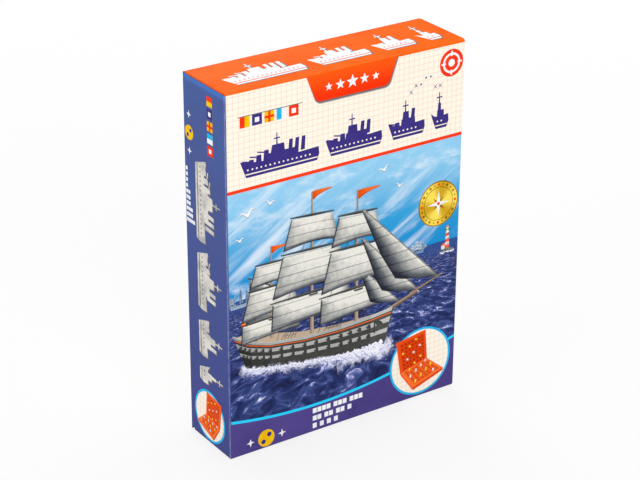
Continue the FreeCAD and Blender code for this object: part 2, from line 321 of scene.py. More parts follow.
# %% Group: varnish
flute_pitch = 2.4
patch_scale, grain_scale = 0.06, 1.7
flute_rise, patch_rise, grain_rise = 0.10, 2.5, 0.25
dull_swing = 0.16
tree, group_in, group_out = start_group(
    "varnish", {"Gloss": "Float"}, {"Roughness": "Float", "Height": "Float"})
spot = place_group(tree, "place on carton")
patches = noise(tree, spot["Place"], patch_scale, 3.0)
grain = noise(tree, spot["Place"], grain_scale, 2.0)
uneven = calc(tree, "MULTIPLY_ADD", patches, dull_swing, -dull_swing / 2)
dull = calc(tree, "SUBTRACT", 1.0, group_in["Gloss"])
feed(tree, group_out["Roughness"], calc(tree, "ADD", dull, uneven))
along = calc(tree, "ADD", spot["X"], spot["Y"])
washboard = calc(tree, "SINE", calc(tree, "MULTIPLY", along, 2 * pi / flute_pitch))
waves = calc(tree, "MULTIPLY_ADD", washboard, flute_rise, calc(tree, "MULTIPLY", patches, patch_rise))
feed(tree, group_out["Height"], calc(tree, "MULTIPLY_ADD", grain, grain_rise, waves))
print("group:", tree.name, "with flutes every", flute_pitch, "mm")

# %% [markdown]
# ## Scuffing and a painted highlight on the folds
# A fold cracks the ink, and handling rubs it off, so a carton's edges turn pale first. The same pale line
# is also a painted highlight, for the light that the rounded fold catches. A point is on an edge of the box
# when two of its three distances to the box's faces are small. The middle one of the three, sorted, is
# therefore the distance to the nearest edge. Noise breaks the line up.

# %% Group: fold scuffing and highlight
scuff_highlight_reach = 0.9
tree, group_in, group_out = start_group("fold scuffing and highlight", {"Reach": "Float"}, {"Mask": "Float"})
spot = place_group(tree, "place on carton")
gap_x = calc(tree, "SUBTRACT", width / 2, calc(tree, "ABSOLUTE", spot["X"]))
gap_y = calc(tree, "SUBTRACT", depth / 2, calc(tree, "ABSOLUTE", spot["Y"]))
from_middle = calc(tree, "ABSOLUTE", calc(tree, "SUBTRACT", spot["Z"], height / 2))
gap_z = calc(tree, "SUBTRACT", height / 2, from_middle)
nearer = calc(tree, "MINIMUM", gap_x, gap_y)
further = calc(tree, "MAXIMUM", gap_x, gap_y)
edge_gap = calc(tree, "MAXIMUM", nearer, calc(tree, "MINIMUM", further, gap_z))
# The mask is pale scuffing and a painted highlight together: a pale line close to each edge of the box.
close = calc(tree, "SUBTRACT", 1.0, band(tree, edge_gap, 0.0, group_in["Reach"]))
patchy = band(tree, noise(tree, spot["Place"], 0.11, 8.0, 0.75), 0.30, 0.72)
feed(tree, group_out["Mask"], calc(tree, "MULTIPLY", close, patchy))
print("group:", tree.name, "reaching", scuff_highlight_reach, "mm")

# %% [markdown]
# ## Squared paper
# The upper part of the front looks like a sheet from a school exercise book, the paper that the game
# is played on with a pencil. Distance to the nearest line comes from a ping-pong function, so the
# lines stay equally thin at any pitch. Where two lines cross, the ink lies double and is darker.

# %% Group: squared paper
square_pitch = 3.8
line_width = 0.34
single_line = 0.55
tree, group_in, group_out = start_group(
    "squared paper", {"Across": "Float", "Up": "Float", "Paper": "Color", "Line": "Color"},
    {"Color": "Color"})
lines = []
for name in ("Across", "Up"):
    distance = calc(tree, "PINGPONG", group_in[name], square_pitch / 2)
    lines.append(calc(tree, "SUBTRACT", 1.0, band(tree, distance, line_width / 2, line_width)))
either = calc(tree, "MULTIPLY", calc(tree, "MAXIMUM", *lines), single_line)
inked = calc(tree, "MULTIPLY_ADD", calc(tree, "MULTIPLY", *lines), 1 - single_line, either)
feed(tree, group_out["Color"], mix(tree, inked, group_in["Paper"], group_in["Line"]))
print("group:", tree.name, "with a pitch of", square_pitch, "mm")

# %% [markdown]
# ## The view in the picture
# The picture shows a sailing ship from its bow quarter, over a sea. Its view is a pinhole camera too: an
# eye, the way it looks and a focal length in millimetres of print. `on_paper` gives the place on the
# panel at which a point of the model is printed, and a small height that is greater for nearer points.
# The sea needs the two ends of the ship's water line, for its foam, so the view comes before the print.

# %% The view in the picture
def picture_view(eye, aim, focal, middle, nearest, farthest, base, relief):
    eye = Vector(eye)
    forward = (Vector(aim) - eye).normalized()
    across = forward.cross(Vector((0, 0, 1))).normalized()
    return {"eye": eye, "forward": forward, "across": across, "up": across.cross(forward), "focal": focal,
            "middle": middle, "nearest": nearest, "farthest": farthest, "base": base, "relief": relief}


def on_paper(view, point):
    ray = Vector(point) - view["eye"]
    distance = ray.dot(view["forward"])
    scale = view["focal"] / distance
    near, far = 1 / view["nearest"], 1 / view["farthest"]
    closeness = (1 / distance - far) / (near - far)
    return Vector((view["middle"][0] + ray.dot(view["across"]) * scale,
                   view["middle"][1] + ray.dot(view["up"]) * scale,
                   view["base"] + view["relief"] * closeness))


horizon = 112.0
picture_top = 184.5
eye_level = 23.0
main_view = picture_view(eye=(100, -104, eye_level), aim=(0, 0, eye_level), focal=350, middle=(-27, horizon),
                         nearest=108, farthest=176, base=0.09, relief=0.31)
bow_foot = on_paper(main_view, (28, 0, 0))
shoulder_foot = on_paper(main_view, (17, -4.8, 0))
stern_foot = on_paper(main_view, (-29, -3.0, 0))
print("water line from", [round(c, 1) for c in bow_foot.xy], "to", [round(c, 1) for c in stern_foot.xy])

# %% [markdown]
# ## Sky
# The picture has a bright sky. It is a gradient from the horizon up, with two kinds of cloud: streaks,
# which are noise that is slanted and stretched, and low banks, which are noise drawn out sideways.

# %% Group: sky
cloud_white, cloud_share = srgb(240, 248, 255), 0.78
tree, group_in, group_out = start_group("sky", {"Across": "Float", "Up": "Float"}, {"Color": "Color"})
across, up = group_in["Across"], group_in["Up"]
rise = band(tree, up, horizon - 6, picture_top)
air = ramp(tree, rise, ((0.0, 30, 142, 208), (0.45, 56, 162, 218), (1.0, 146, 206, 240)))
slant = calc(tree, "MULTIPLY_ADD", across, -0.55, up)
streak = vector(tree, calc(tree, "MULTIPLY", slant, 0.075), calc(tree, "MULTIPLY", across, 0.012), 3.1)
cloud = band(tree, noise(tree, streak, 1.0, 6.0, 0.6, 0.4), 0.47, 0.74)
puff = vector(tree, calc(tree, "MULTIPLY", across, 0.022), calc(tree, "MULTIPLY", up, 0.045), 7.7)
bank = band(tree, noise(tree, puff, 1.0, 7.0, 0.62), 0.52, 0.74)
white_air = calc(tree, "MULTIPLY", calc(tree, "MAXIMUM", cloud, bank), cloud_share)
feed(tree, group_out["Color"], mix(tree, white_air, air, cloud_white))
print("group:", tree.name, "from", horizon, "to", picture_top, "mm")

# %% [markdown]
# ## Sea
# Under the sky lies a dark choppy sea. Dividing by the distance below the horizon turns the flat print
# into a plane that runs away from the viewer, so the waves shrink towards the horizon, where haze takes
# them in.

# %% Group: sea
haze_blue, haze_share = srgb(44, 80, 148), 0.75
tree, group_in, group_out = start_group("sea", {"Across": "Float", "Up": "Float"}, {"Color": "Color"})
below = calc(tree, "MAXIMUM", calc(tree, "SUBTRACT", horizon + 3, group_in["Up"]), 2.0)
nearness = calc(tree, "DIVIDE", 60.0, below)
sideways = calc(tree, "MULTIPLY", calc(tree, "MULTIPLY", group_in["Across"], nearness), 0.09)
flat = vector(tree, sideways, calc(tree, "MULTIPLY", nearness, 11.0), 0.0)
chop = noise(tree, flat, 1.0, 8.0, 0.66, 0.9)
water = ramp(tree, chop, ((0.28, 24, 28, 58), (0.47, 44, 54, 106), (0.58, 76, 92, 152),
                          (0.615, 152, 156, 210), (0.675, 238, 236, 250)))
haze = calc(tree, "SUBTRACT", 1.0, band(tree, below, 3.0, 16.0))
feed(tree, group_out["Color"], mix(tree, calc(tree, "MULTIPLY", haze, haze_share), water, haze_blue))
print("group:", tree.name, "up to", horizon, "mm")

# %% [markdown]
# ## Printed board
# Every printed surface shares the same Principled shader: the colour of its print, then a pale line on
# the folds that is partly wear and partly a painted highlight, then varnish. `printed_board` does what is
# common and asks a small function for the print.

# %% Printed board
paper_white = srgb(244, 240, 234)
print_specular = 0.015
varnish_relief = 0.02 * MM


def start_material(name, roughness=0.5, specular=0.5):
    """A new material with its Principled shader and nothing on it yet."""
    made = bpy.data.materials.new(name)
    made.use_nodes = True
    shader = made.node_tree.nodes["Principled BSDF"]
    shader.inputs["Roughness"].default_value = roughness
    shader.inputs["Specular IOR Level"].default_value = specular
    return made, made.node_tree, shader


def add_bump(tree, shader, height_socket, distance):
    bump = node(tree, "Bump")
    bump.inputs["Strength"].default_value = 1.0
    bump.inputs["Distance"].default_value = distance
    feed(tree, bump.inputs["Height"], height_socket)
    feed(tree, shader.inputs["Normal"], bump.outputs["Normal"])


def varnish_over(tree, shader, colour, gloss):
    """A print's colour under varnish, uneven in gloss and relief."""
    feed(tree, shader.inputs["Base Color"], colour)
    finish = place_group(tree, "varnish", Gloss=gloss)
    feed(tree, shader.inputs["Roughness"], finish["Roughness"])
    add_bump(tree, shader, finish["Height"], varnish_relief)


def printed_board(name, print_colour, gloss=0.55, scuff_highlight=0.5):
    """Varnished print from print_colour(tree, spot), paled along the folds by wear and a painted highlight.
    """
    made, tree, shader = start_material(name, specular=print_specular)
    spot = place_group(tree, "place on carton")
    # Wear and painted highlight: the print turns pale towards paper white along the folds.
    scuffed_and_lit = calc(tree, "MULTIPLY", place_group(tree, "fold scuffing and highlight", Reach=scuff_highlight_reach)["Mask"], scuff_highlight)
    varnish_over(tree, shader, mix(tree, scuffed_and_lit, print_colour(tree, spot), paper_white), gloss)
    return made


def tinted(tree, spot, colour, other, scale=0.03):
    """A print colour that drifts a little, as solid areas do across a sheet."""
    return mix(tree, band(tree, noise(tree, spot["Place"], scale, 3.0), 0.35, 0.7), colour, other)


orange = (srgb(252, 104, 8), srgb(246, 94, 4))
violet = (srgb(86, 73, 142), srgb(76, 64, 130))
blue = (srgb(78, 93, 152), srgb(68, 80, 138))
print("solid inks:", len((orange, violet, blue)), "each drifting between two tones")

# %% [markdown]
# ## The front print
# From the top: a lip of orange that comes over the fold, squared paper, a red rule, the picture, a cyan
# line that sags like a water line, and a violet foot. Each zone is a mask made from the height on the
# panel, and they are laid over each other as inks are.

# %% The front print
orange_lip, lip_slant = 1.7, 0.0056
rule_red, rule_height = srgb(250, 62, 24), 2.3
foot_dip, foot_dip_at, foot_curve = 19.2, -22.0, 0.00148
foot_line, line_cyan = 2.0, srgb(44, 208, 252)
cream_paper, cream_line = srgb(255, 247, 230), srgb(244, 212, 198)
froth_white = srgb(232, 232, 250)
print_blur = 0.12


def over(tree, value, level):
    """1 where a value is over a level, with the slightly soft edge of a print."""
    return band(tree, value, level - print_blur, level + print_blur)


def squares(tree, across, up):
    paper = place_group(tree, "squared paper", Across=across, Up=up, Paper=cream_paper, Line=cream_line)
    return paper["Color"]


def wake(tree, spot):
    """Foam along the ship's water line, widest at the bow and broken up by noise."""
    gaps = []
    for start, end, reach in ((bow_foot, shoulder_foot, 15.0), (shoulder_foot, stern_foot, 9.0)):
        run = (end - start).xy
        from_x = calc(tree, "SUBTRACT", spot["X"], start.x)
        from_z = calc(tree, "SUBTRACT", spot["Z"], start.y)
        dot = calc(tree, "MULTIPLY_ADD", from_x, run.x, calc(tree, "MULTIPLY", from_z, run.y))
        share = calc(tree, "DIVIDE", dot, run.length_squared)
        along = calc(tree, "MINIMUM", calc(tree, "MAXIMUM", share, 0.0), 1.0)
        off_x = calc(tree, "SUBTRACT", from_x, calc(tree, "MULTIPLY", along, run.x))
        off_z = calc(tree, "SUBTRACT", from_z, calc(tree, "MULTIPLY", along, run.y))
        squared = calc(tree, "MULTIPLY_ADD", off_x, off_x, calc(tree, "MULTIPLY", off_z, off_z))
        gaps.append(calc(tree, "DIVIDE", calc(tree, "SQRT", squared), reach))
    froth = noise(tree, spot["Place"], 0.16, 9.0, 0.72, 0.6)
    nearest = calc(tree, "MINIMUM", *gaps)
    return band(tree, calc(tree, "MULTIPLY_ADD", nearest, -0.42, froth), 0.22, 0.46)


def front_zones(tree, spot):
    x, z = spot["X"], spot["Z"]
    sky, sea = (place_group(tree, name, Across=x, Up=z)["Color"] for name in ("sky", "sea"))
    bumps = noise(tree, vector(tree, calc(tree, "MULTIPLY", x, 0.12), 0.0, 0.0), 1.0)
    swell = calc(tree, "MULTIPLY_ADD", bumps, 1.6, horizon - 0.8)
    above_sea = calc(tree, "SUBTRACT", z, swell)
    colour = mix(tree, over(tree, above_sea, 0.0), mix(tree, wake(tree, spot), sea, froth_white), sky)
    colour = mix(tree, over(tree, z, picture_top), colour, rule_red)
    colour = mix(tree, over(tree, z, picture_top + rule_height), colour, squares(tree, x, z))
    slanted = calc(tree, "MULTIPLY_ADD", x, lip_slant, z)
    colour = mix(tree, over(tree, slanted, height - orange_lip), colour, orange[0])
    away = calc(tree, "SUBTRACT", x, foot_dip_at)
    sag = calc(tree, "MULTIPLY_ADD", calc(tree, "MULTIPLY", away, away), foot_curve, foot_dip)
    above_foot = calc(tree, "SUBTRACT", z, sag)
    line = mix(tree, over(tree, above_foot, 0.0), tinted(tree, spot, *violet), line_cyan)
    return mix(tree, over(tree, above_foot, foot_line), line, colour)


front_print = printed_board("front_print", front_zones)
print(front_print.name, len(front_print.node_tree.nodes), "nodes")

# %% [markdown]
# ## The other prints
# The sides are blue, a little lighter towards the top, with a bright band under the top fold that is a
# painted highlight, for the light that the rounded fold catches. The back is squared paper between an
# orange head and a violet foot. The closure and the tuck flap are orange at the top and violet at the
# bottom.

# %% The other prints
back_head, back_foot = 214.0, 26.0
# The last blue is the colour of a painted highlight under the top fold.
low_blue, high_blue, fold_highlight_blue = srgb(74, 76, 142), srgb(74, 98, 158), srgb(72, 124, 204)
fold_highlight_share = 0.75


def solid(colour, other, scale=0.03):
    """The print of a plain area, for printed_board."""
    return lambda tree, spot: tinted(tree, spot, colour, other, scale)


def side_zones(tree, spot):
    rise = band(tree, spot["Z"], 0.0, height)
    lower = tinted(tree, spot, blue[1], low_blue)
    upper = tinted(tree, spot, blue[0], high_blue)
    # Painted highlight: a brighter blue band just under the top fold, where the rounded fold catches light.
    near_fold = band(tree, spot["Z"], height - 5.5, height - 2.2)
    on_wall = band(tree, calc(tree, "ABSOLUTE", spot["X"]), width / 2 - 4, width / 2 - 1.5)
    painted_fold_highlight = calc(tree, "MULTIPLY", calc(tree, "MULTIPLY", near_fold, on_wall), fold_highlight_share)
    return mix(tree, painted_fold_highlight, mix(tree, rise, lower, upper), fold_highlight_blue)


def back_zones(tree, spot):
    z = spot["Z"]
    colour = mix(tree, over(tree, z, back_foot), tinted(tree, spot, *violet), squares(tree, spot["X"], z))
    return mix(tree, over(tree, z, back_head), colour, tinted(tree, spot, *orange))


side_print = printed_board("side_print", side_zones)
back_print = printed_board("back_print", back_zones)
# The top's folds get only a little of the pale scuffing and painted highlight.
top_print = printed_board("top_print", solid(*orange), scuff_highlight=0.15)
bottom_print = printed_board("bottom_print", solid(*violet))
print("prints:", [m.name for m in (side_print, back_print, top_print, bottom_print)])

# %% [markdown]
# ## Bare board
# The inside of the sheet is grey recycled fibre with specks in it. A cut edge shows the flutes between two
# pale liners, their open hollows as small dark cells of painted shade, and the knife drags some of the
# print over it.

# %% Bare board
def board_inside():
    made, tree, shader = start_material("board_inside", 0.85)
    spot = place_group(tree, "place on carton")
    cloudy = noise(tree, spot["Place"], 0.25, 6.0, 0.65)
    colour = ramp(tree, cloudy, ((0.3, 196, 190, 180), (0.7, 222, 217, 208)))
    specks = band(tree, noise(tree, spot["Place"], 2.6, 2.0), 0.70, 0.76)
    feed(tree, shader.inputs["Base Color"], mix(tree, specks, colour, srgb(140, 128, 112)))
    add_bump(tree, shader, cloudy, 0.05 * MM)
    return made


def cut_edge(name, dragged_ink, cover):
    made, tree, shader = start_material(name, 0.9, specular=print_specular)
    spot = place_group(tree, "place on carton")
    along = calc(tree, "ADD", spot["X"], spot["Y"])
    cell = calc(tree, "PINGPONG", along, flute_pitch / 2)
    # Painted shade: small dark cells along the cut edge stand in for the shade inside the open flutes.
    dark = band(tree, cell, flute_pitch * 0.24, flute_pitch * 0.34)
    fibre = noise(tree, spot["Place"], 1.3, 4.0)
    liner = ramp(tree, fibre, ((0.3, 206, 198, 186), (0.7, 230, 224, 214)))
    cut = mix(tree, calc(tree, "MULTIPLY", dark, 0.4), liner, srgb(150, 136, 120))
    smear = band(tree, noise(tree, spot["Place"], 0.6, 5.0), 0.75 - cover, 1.05 - cover)
    feed(tree, shader.inputs["Base Color"], mix(tree, smear, cut, dragged_ink))
    return made


inside = board_inside()
raw_edge = cut_edge("raw_edge", paper_white, 0.3)
orange_edge = cut_edge("orange_edge", orange[1], 0.62)
violet_edge = cut_edge("violet_edge", violet[1], 0.62)
blue_edge = cut_edge("blue_edge", blue[1], 0.45)
print("bare board:", [m.name for m in (inside, raw_edge, orange_edge, violet_edge, blue_edge)])

# %% [markdown]
# ## Pieces
# A finished piece is a mesh at the origin with its place in its vertices. `new_piece` turns a bmesh
# into such an object, keeps the resting place for the shaders, and marks edges over 40 degrees sharp
# so that folds are smooth and cut edges are crisp.

# %% A piece from a bmesh
sharp_angle = 40


def new_piece(name, bm, materials):
    mesh = bpy.data.meshes.new(name)
    bm.to_mesh(mesh)
    bm.free()
    places = mesh.attributes.new("rest", "FLOAT_VECTOR", "POINT")
    for spot, vertex in zip(places.data, mesh.vertices):
        spot.vector = vertex.co
    for material in materials:
        mesh.materials.append(material)
    mesh.shade_smooth()
    mesh.set_sharp_from_angle(angle=radians(sharp_angle))
    piece = add_object(name, mesh)
    print(name, len(mesh.polygons), "faces")
    return piece


print("edges over", sharp_angle, "degrees are sharp")

# %% [markdown]
# ## Folding a sheet
# The sheet's cut edge is a short line as long as the board is thick. Pushed along, it draws a wall in
# section, and spun round a corner it draws a fold, as the sheet itself is wrapped. The section is then
# lifted into a solid. These few moves make the sleeve and all eight flaps.

# %% Folding a sheet
fold_steps = 8
same_point = 0.001 * MM
across_x, along_y, up_z = Vector((1, 0, 0)), Vector((0, 1, 0)), Vector((0, 0, 1))


def only(kind, geometry):
    return [g for g in geometry if isinstance(g, kind)]


def push(bm, edge, way):
    """Sweep an edge straight along a way, and return the edge at the far end."""
    ends = only(bmesh.types.BMVert, bmesh.ops.extrude_edge_only(bm, edges=[edge])["geom"])
    bmesh.ops.translate(bm, verts=ends, vec=way)
    return bm.edges.get(ends)


def roll(bm, edge, pivot, axis, angle):
    """Sweep an edge round a fold, and return the edge at the far end."""
    made = bmesh.ops.spin(bm, geom=[edge, *edge.verts], cent=pivot, axis=axis, angle=angle, steps=fold_steps)
    return only(bmesh.types.BMEdge, made["geom_last"])[-1]


def lift(bm, faces, way):
    """Extrude faces along a way, and return the moved ones."""
    made = bmesh.ops.extrude_face_region(bm, geom=faces)["geom"]
    bmesh.ops.translate(bm, verts=only(bmesh.types.BMVert, made), vec=way)
    return only(bmesh.types.BMFace, made)


def grow(bm, faces, way):
    """Lift faces of a solid further, and take away the ones left inside it."""
    lift(bm, faces, way)
    bmesh.ops.delete(bm, geom=faces, context="FACES")


def merge(bm):
    bmesh.ops.remove_doubles(bm, verts=bm.verts, dist=same_point)


def turn_outwards(bm):
    bmesh.ops.recalc_face_normals(bm, faces=bm.faces)


print("a fold takes", fold_steps, "steps")

# %% [markdown]
# ## The sleeve's faces
# The sheet is printed on one side only. Each face of the folded sleeve gets its material from its place
# and the way that it faces: print outside, grey board inside, and a cut edge where the knife went.

# %% The sleeve's faces
slack = 0.01 * MM
square_on, mostly = 0.9, 0.5
FRONT, LEFT, RIGHT, BACK, INSIDE, SEAM, TOP_CUT, BOTTOM_CUT, SIDE_CUT = range(9)
sleeve_looks = [front_print, side_print, side_print, back_print, inside, raw_edge,
                orange_edge, violet_edge, blue_edge]


def sleeve_material(face):
    """The inside and the glue flap's edges, then cut edges, then outer faces by the way they face."""
    middle, way = face.calc_center_median(), face.normal
    in_x = left + board - slack < middle.x < right - board + slack
    in_y = front + board - slack < middle.y < back - board + slack
    if in_x and in_y:
        on_glue_edge = middle.y > back - 2 * board and abs(way.y) < mostly
        return SEAM if on_glue_edge else INSIDE
    if abs(way.z) > square_on:
        if middle.x < left + board or middle.x > right - board:
            return SIDE_CUT
        if middle.y < front + board:
            return INSIDE
        return TOP_CUT if way.z > 0 else BOTTOM_CUT
    if abs(way.x) > square_on and middle.y > back - board:
        return SEAM if way.x > 0 else LEFT
    if middle.x < left + board and way.y < mostly:
        return LEFT
    if abs(way.y) > mostly:
        return FRONT if way.y < 0 else BACK
    return RIGHT


print("materials on the sleeve:", len(sleeve_looks))

# %% [markdown]
# ## The sleeve
# The plan runs from the right wall round by the front and the left to the back, and ends at the right
# of the back, in a glued seam. The side walls stop where the dust flaps fold, the front wall where the
# closure folds, and the back wall's cut edge lies just below the closed panel's face.

# %% The sleeve
seam_setback = 0.3 * MM
edge_drop = 0.6 * MM
glue_width, glue_end_gap, glue_slope = 15 * MM, 14 * MM, 0.35


def make_sleeve():
    bm = bmesh.new()
    low, high = top - (dust_top - board), dust_top - board
    start = [bm.verts.new((x, back - board, low)) for x in (right - board, right)]
    edge = push(bm, bm.edges.new(start), along_y * (front - back + 2 * board))
    for x, y, run in ((right - board, front + board, across_x * (left - right + 2 * board)),
                      (left + board, front + board, along_y * (back - front - 2 * board)),
                      (left + board, back - board, across_x * (right - seam_setback - left - board))):
        edge = push(bm, roll(bm, edge, (x, y, low), up_z, -pi / 2), run)
    merge(bm)
    lift(bm, bm.faces[:], up_z * (high - low))
    turn_outwards(bm)
    ends = [(f, f.normal.z, f.calc_center_median().y) for f in bm.faces if abs(f.normal.z) > square_on]
    for way in (1, -1):
        front_end = [f for f, face_z, y in ends if face_z * way > 0 and y < front + board]
        grow(bm, front_end, up_z * way * (top - dust_top))
        back_end = [f for f, face_z, y in ends if face_z * way > 0 and y > back - board]
        grow(bm, back_end, up_z * way * (top - edge_drop - high))
    glue_out = right - board
    glue_in = glue_out - glue_width
    glue_drop = glue_end_gap + glue_width * glue_slope
    corners = ((glue_out, glue_end_gap), (glue_out, top - glue_end_gap),
               (glue_in, top - glue_drop), (glue_in, glue_drop))
    flap = bm.faces.new([bm.verts.new((x, back - 2 * board, z)) for x, z in corners])
    lift(bm, [flap], along_y * board)
    turn_outwards(bm)
    for face in bm.faces:
        face.material_index = sleeve_material(face)
    return bm


sleeve = new_piece("printed_sleeve", make_sleeve(), sleeve_looks)
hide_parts("carton_sleeve")
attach(sleeve, "carton")

# %% [markdown]
# ## The closure's shape
# Each flap starts with its fold: the cut edge is spun round the inner corner, then pushed straight on.
# Drawn so in section and pushed sideways, the fold and the flap are one piece. The closure panel is just
# such a strip.

# %% The closure's shape
OUTER, INNER, CUT = range(3)
outward_share, cut_share = 0.25, 0.8


def folded_strip(inner, outer, axis, angle, straight, wide):
    """A fold round its inner corner and the flap that runs on from it, pushed sideways."""
    bm = bmesh.new()
    edge = bm.edges.new([bm.verts.new(inner), bm.verts.new(outer)])
    push(bm, roll(bm, edge, inner, axis, angle), straight)
    merge(bm)
    lift(bm, bm.faces[:], wide)
    merge(bm)
    turn_outwards(bm)
    return bm


def paint_flap(bm, outward, cut_ways):
    """Outside where a face looks outward, cut edge where it looks along the sheet, inside elsewhere."""
    turn_outwards(bm)
    for face in bm.faces:
        looks_out = any(face.normal.dot(way) > outward_share for way in outward)
        is_cut = any(face.normal.dot(way) > cut_share for way in cut_ways)
        face.material_index = CUT if is_cut else OUTER if looks_out else INNER


def closure_mesh():
    x = closure_low.x
    bm = folded_strip((x, front + board, top - board), (x, front, top - board), across_x, -pi / 2,
                      along_y * (tuck_fold - front - board), across_x * (closure_high.x - x))
    paint_flap(bm, (up_z, -along_y), (across_x, -across_x))
    return bm


print("closure panel", round((tuck_fold - front) / MM, 1), "mm deep")

# %% [markdown]
# ## Shapes of the tuck and dust flaps
# The tuck flap leans in a little and has rounded tips to slide in by. A dust flap's fold is as long as
# the side is deep. Beyond the fold the flap is cut back at a slant, with a chamfer at its rear tip.

# %% Shapes of the tuck and dust flaps
tuck_corner = 8 * MM
dust_front_slope, dust_back_slope, dust_chamfer, dust_fold_gap = 0.58, 0.09, 4 * MM, 0.2 * MM


def tuck_mesh():
    x = tuck_low.x
    down = Vector((0, -sin(tuck_lean), -cos(tuck_lean)))
    bm = folded_strip((x, tuck_fold, top - board), (x, tuck_fold, top), across_x, -pi / 2 - tuck_lean,
                      down * tuck_length, across_x * (tuck_high.x - x))
    tips = []
    for edge in bm.edges:
        first, second = (v.co for v in edge.verts)
        through = abs(edge.calc_length() - board) < slack and abs(first.x - second.x) < slack
        if through and max(first.z, second.z) < tuck_low.z + 2 * board:
            tips.append(edge)
    bmesh.ops.bevel(bm, geom=tips, offset=tuck_corner, affect="EDGES", segments=8, profile=0.5, material=-1)
    outward = up_z + Vector((0, cos(tuck_lean), -sin(tuck_lean)))
    paint_flap(bm, (outward.normalized(),), (across_x, -across_x, down))
    return bm


def dust_mesh(side):
    """A dust flap on the left (-1) or the right (1)."""
    outer, inner = side * right, side * (right - board)
    length = dust_high.x - left
    y, z = dust_low.y, dust_top - board
    bm = folded_strip((inner, y, z), (outer, y, z), along_y, -side * pi / 2,
                      across_x * (-side * (length - board)), along_y * (dust_high.y - y))
    for way, room in ((1, back - board - dust_high.y), (-1, dust_low.y - front - board)):
        fold_end = [f for f in bm.faces
                    if f.normal.y * way > square_on and abs(f.calc_center_median().x) > right - board]
        grow(bm, fold_end, along_y * way * (room - dust_fold_gap))
    tip = [v for v in bm.verts if abs(v.co.x - side * (right - length)) < slack]
    for vertex in tip:
        near_front = vertex.co.y < (dust_low.y + dust_high.y) / 2
        vertex.co.y += length * dust_front_slope if near_front else -length * dust_back_slope
    rear_tip = [e for e in bm.edges if set(e.verts) <= set(tip) and min(v.co.y for v in e.verts) > 0]
    bmesh.ops.bevel(bm, geom=rear_tip, offset=dust_chamfer, affect="EDGES", segments=1, profile=0.5,
                    material=-1)
    paint_flap(bm, (up_z, across_x * side), (along_y, -along_y, across_x * -side))
    return bm


print("tuck flap leans in by", round(tuck_lean * 180 / pi, 1), "degrees")

# %% [markdown]
# ## Flaps on their folds
# The bottom flaps are the top ones mirrored, which turns their faces inside out, so they are
# reversed.

# %% Flaps on their folds
def turn_over(bm):
    """The same flap at the carton's other end."""
    bmesh.ops.scale(bm, verts=bm.verts, vec=(1, 1, -1))
    bmesh.ops.translate(bm, verts=bm.verts, vec=up_z * top)
    bmesh.ops.reverse_faces(bm, faces=bm.faces)


def add_flap(name, node_name, mesh_maker, prints, edges, fold):
    """One flap at each end of the carton, the one at the bottom turned over."""
    for end, surface, edge in zip(("top_", "bottom_"), prints, edges):
        bm = mesh_maker()
        start, finish = (Vector(p) for p in fold)
        if end == "bottom_":
            turn_over(bm)
            start.z, finish.z = top - start.z, top - finish.z
        piece = new_piece(end + name, bm, [surface, inside, edge])
        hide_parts(end + node_name)
        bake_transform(piece)


end_prints, end_edges = (top_print, bottom_print), (orange_edge, violet_edge)
closure_fold = ((0, front, top - board), (0, front + board, top))
tuck_turn = ((0, tuck_fold, top),
             (0, tuck_fold + board * cos(tuck_lean), top - board - board * sin(tuck_lean)))
add_flap("closure", "closure_panel", closure_mesh, end_prints, end_edges,
         closure_fold)
add_flap("tuck", "tuck_flap", tuck_mesh, end_prints, end_edges,
         tuck_turn)
for side, word in ((-1, "left"), (1, "right")):
    fold = ((side * right, 0, dust_top - board), (side * (right - board), 0, dust_top))
    add_flap("dust_" + word, "dust_flap_" + word, lambda: dust_mesh(side), (side_print, side_print),
             (blue_edge, blue_edge), fold)

# %% [markdown]
# ## Ink on a panel
# A print is flat, but a mesh can't hold a colour edge inside a face, so each printed shape is a very
# thin closed plate that starts just inside the board. Shapes that lie over others are some hundredths
# of a millimetre thicker. Layouts are drawn in the panel's own millimetres: across from its middle, up
# from its foot. A matrix for each panel then puts the layout on the carton.

# %% Ink on a panel
ink_sunk, ink_step = 0.02, 0.03


def panel(origin, across, up):
    """The matrix from a panel's own millimetres to the frame."""
    across, up = Vector(across), Vector(up)
    turned = Matrix((across, up, across.cross(up))).transposed().to_4x4()
    return Matrix.Translation(origin) @ turned @ Matrix.Scale(MM, 4)


panels = {
    "front": panel((0, front, 0), (1, 0, 0), (0, 0, 1)),
    "left": panel((left, 0, 0), (0, -1, 0), (0, 0, 1)),
    "right": panel((right, 0, 0), (0, 1, 0), (0, 0, 1)),
    "back": panel((0, back, 0), (-1, 0, 0), (0, 0, 1)),
    "top": panel((0, 0, top), (1, 0, 0), (0, 1, 0)),
    "bottom": panel((0, 0, 0), (1, 0, 0), (0, -1, 0)),
}


def faces_of(verts):
    """All faces at some vertices, each once."""
    return list(dict.fromkeys(f for v in verts for f in v.link_faces))


def set_ink(verts, number):
    for face in faces_of(verts):
        face.material_index = number


def raise_ink(bm, face, ink, layer):
    """Give a flat shape its thickness on the panel, and return its vertices."""
    made = face.verts[:]
    bmesh.ops.translate(bm, verts=made, vec=up_z * -ink_sunk)
    for cap in lift(bm, [face], up_z * (ink_sunk + ink_step * (layer + 1))):
        made += cap.verts
    bmesh.ops.recalc_face_normals(bm, faces=faces_of(made))
    set_ink(made, ink)
    return made


def move(bm, verts, place):
    """Put some vertices in place by a matrix, each once."""
    bmesh.ops.transform(bm, matrix=place, verts=list(dict.fromkeys(verts)))


def at(u, v, turn=0.0):
    return Matrix.Translation((u, v, 0)) @ Matrix.Rotation(turn, 4, "Z")


def print_on(name, bm, side, looks, body="carton", slot="printed_board"):
    """Put a layout on a panel as one piece that moves with its body."""
    bm.transform(panels[side])
    piece = new_piece(name, bm, looks)
    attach(piece, body)


print("panels:", sorted(panels))

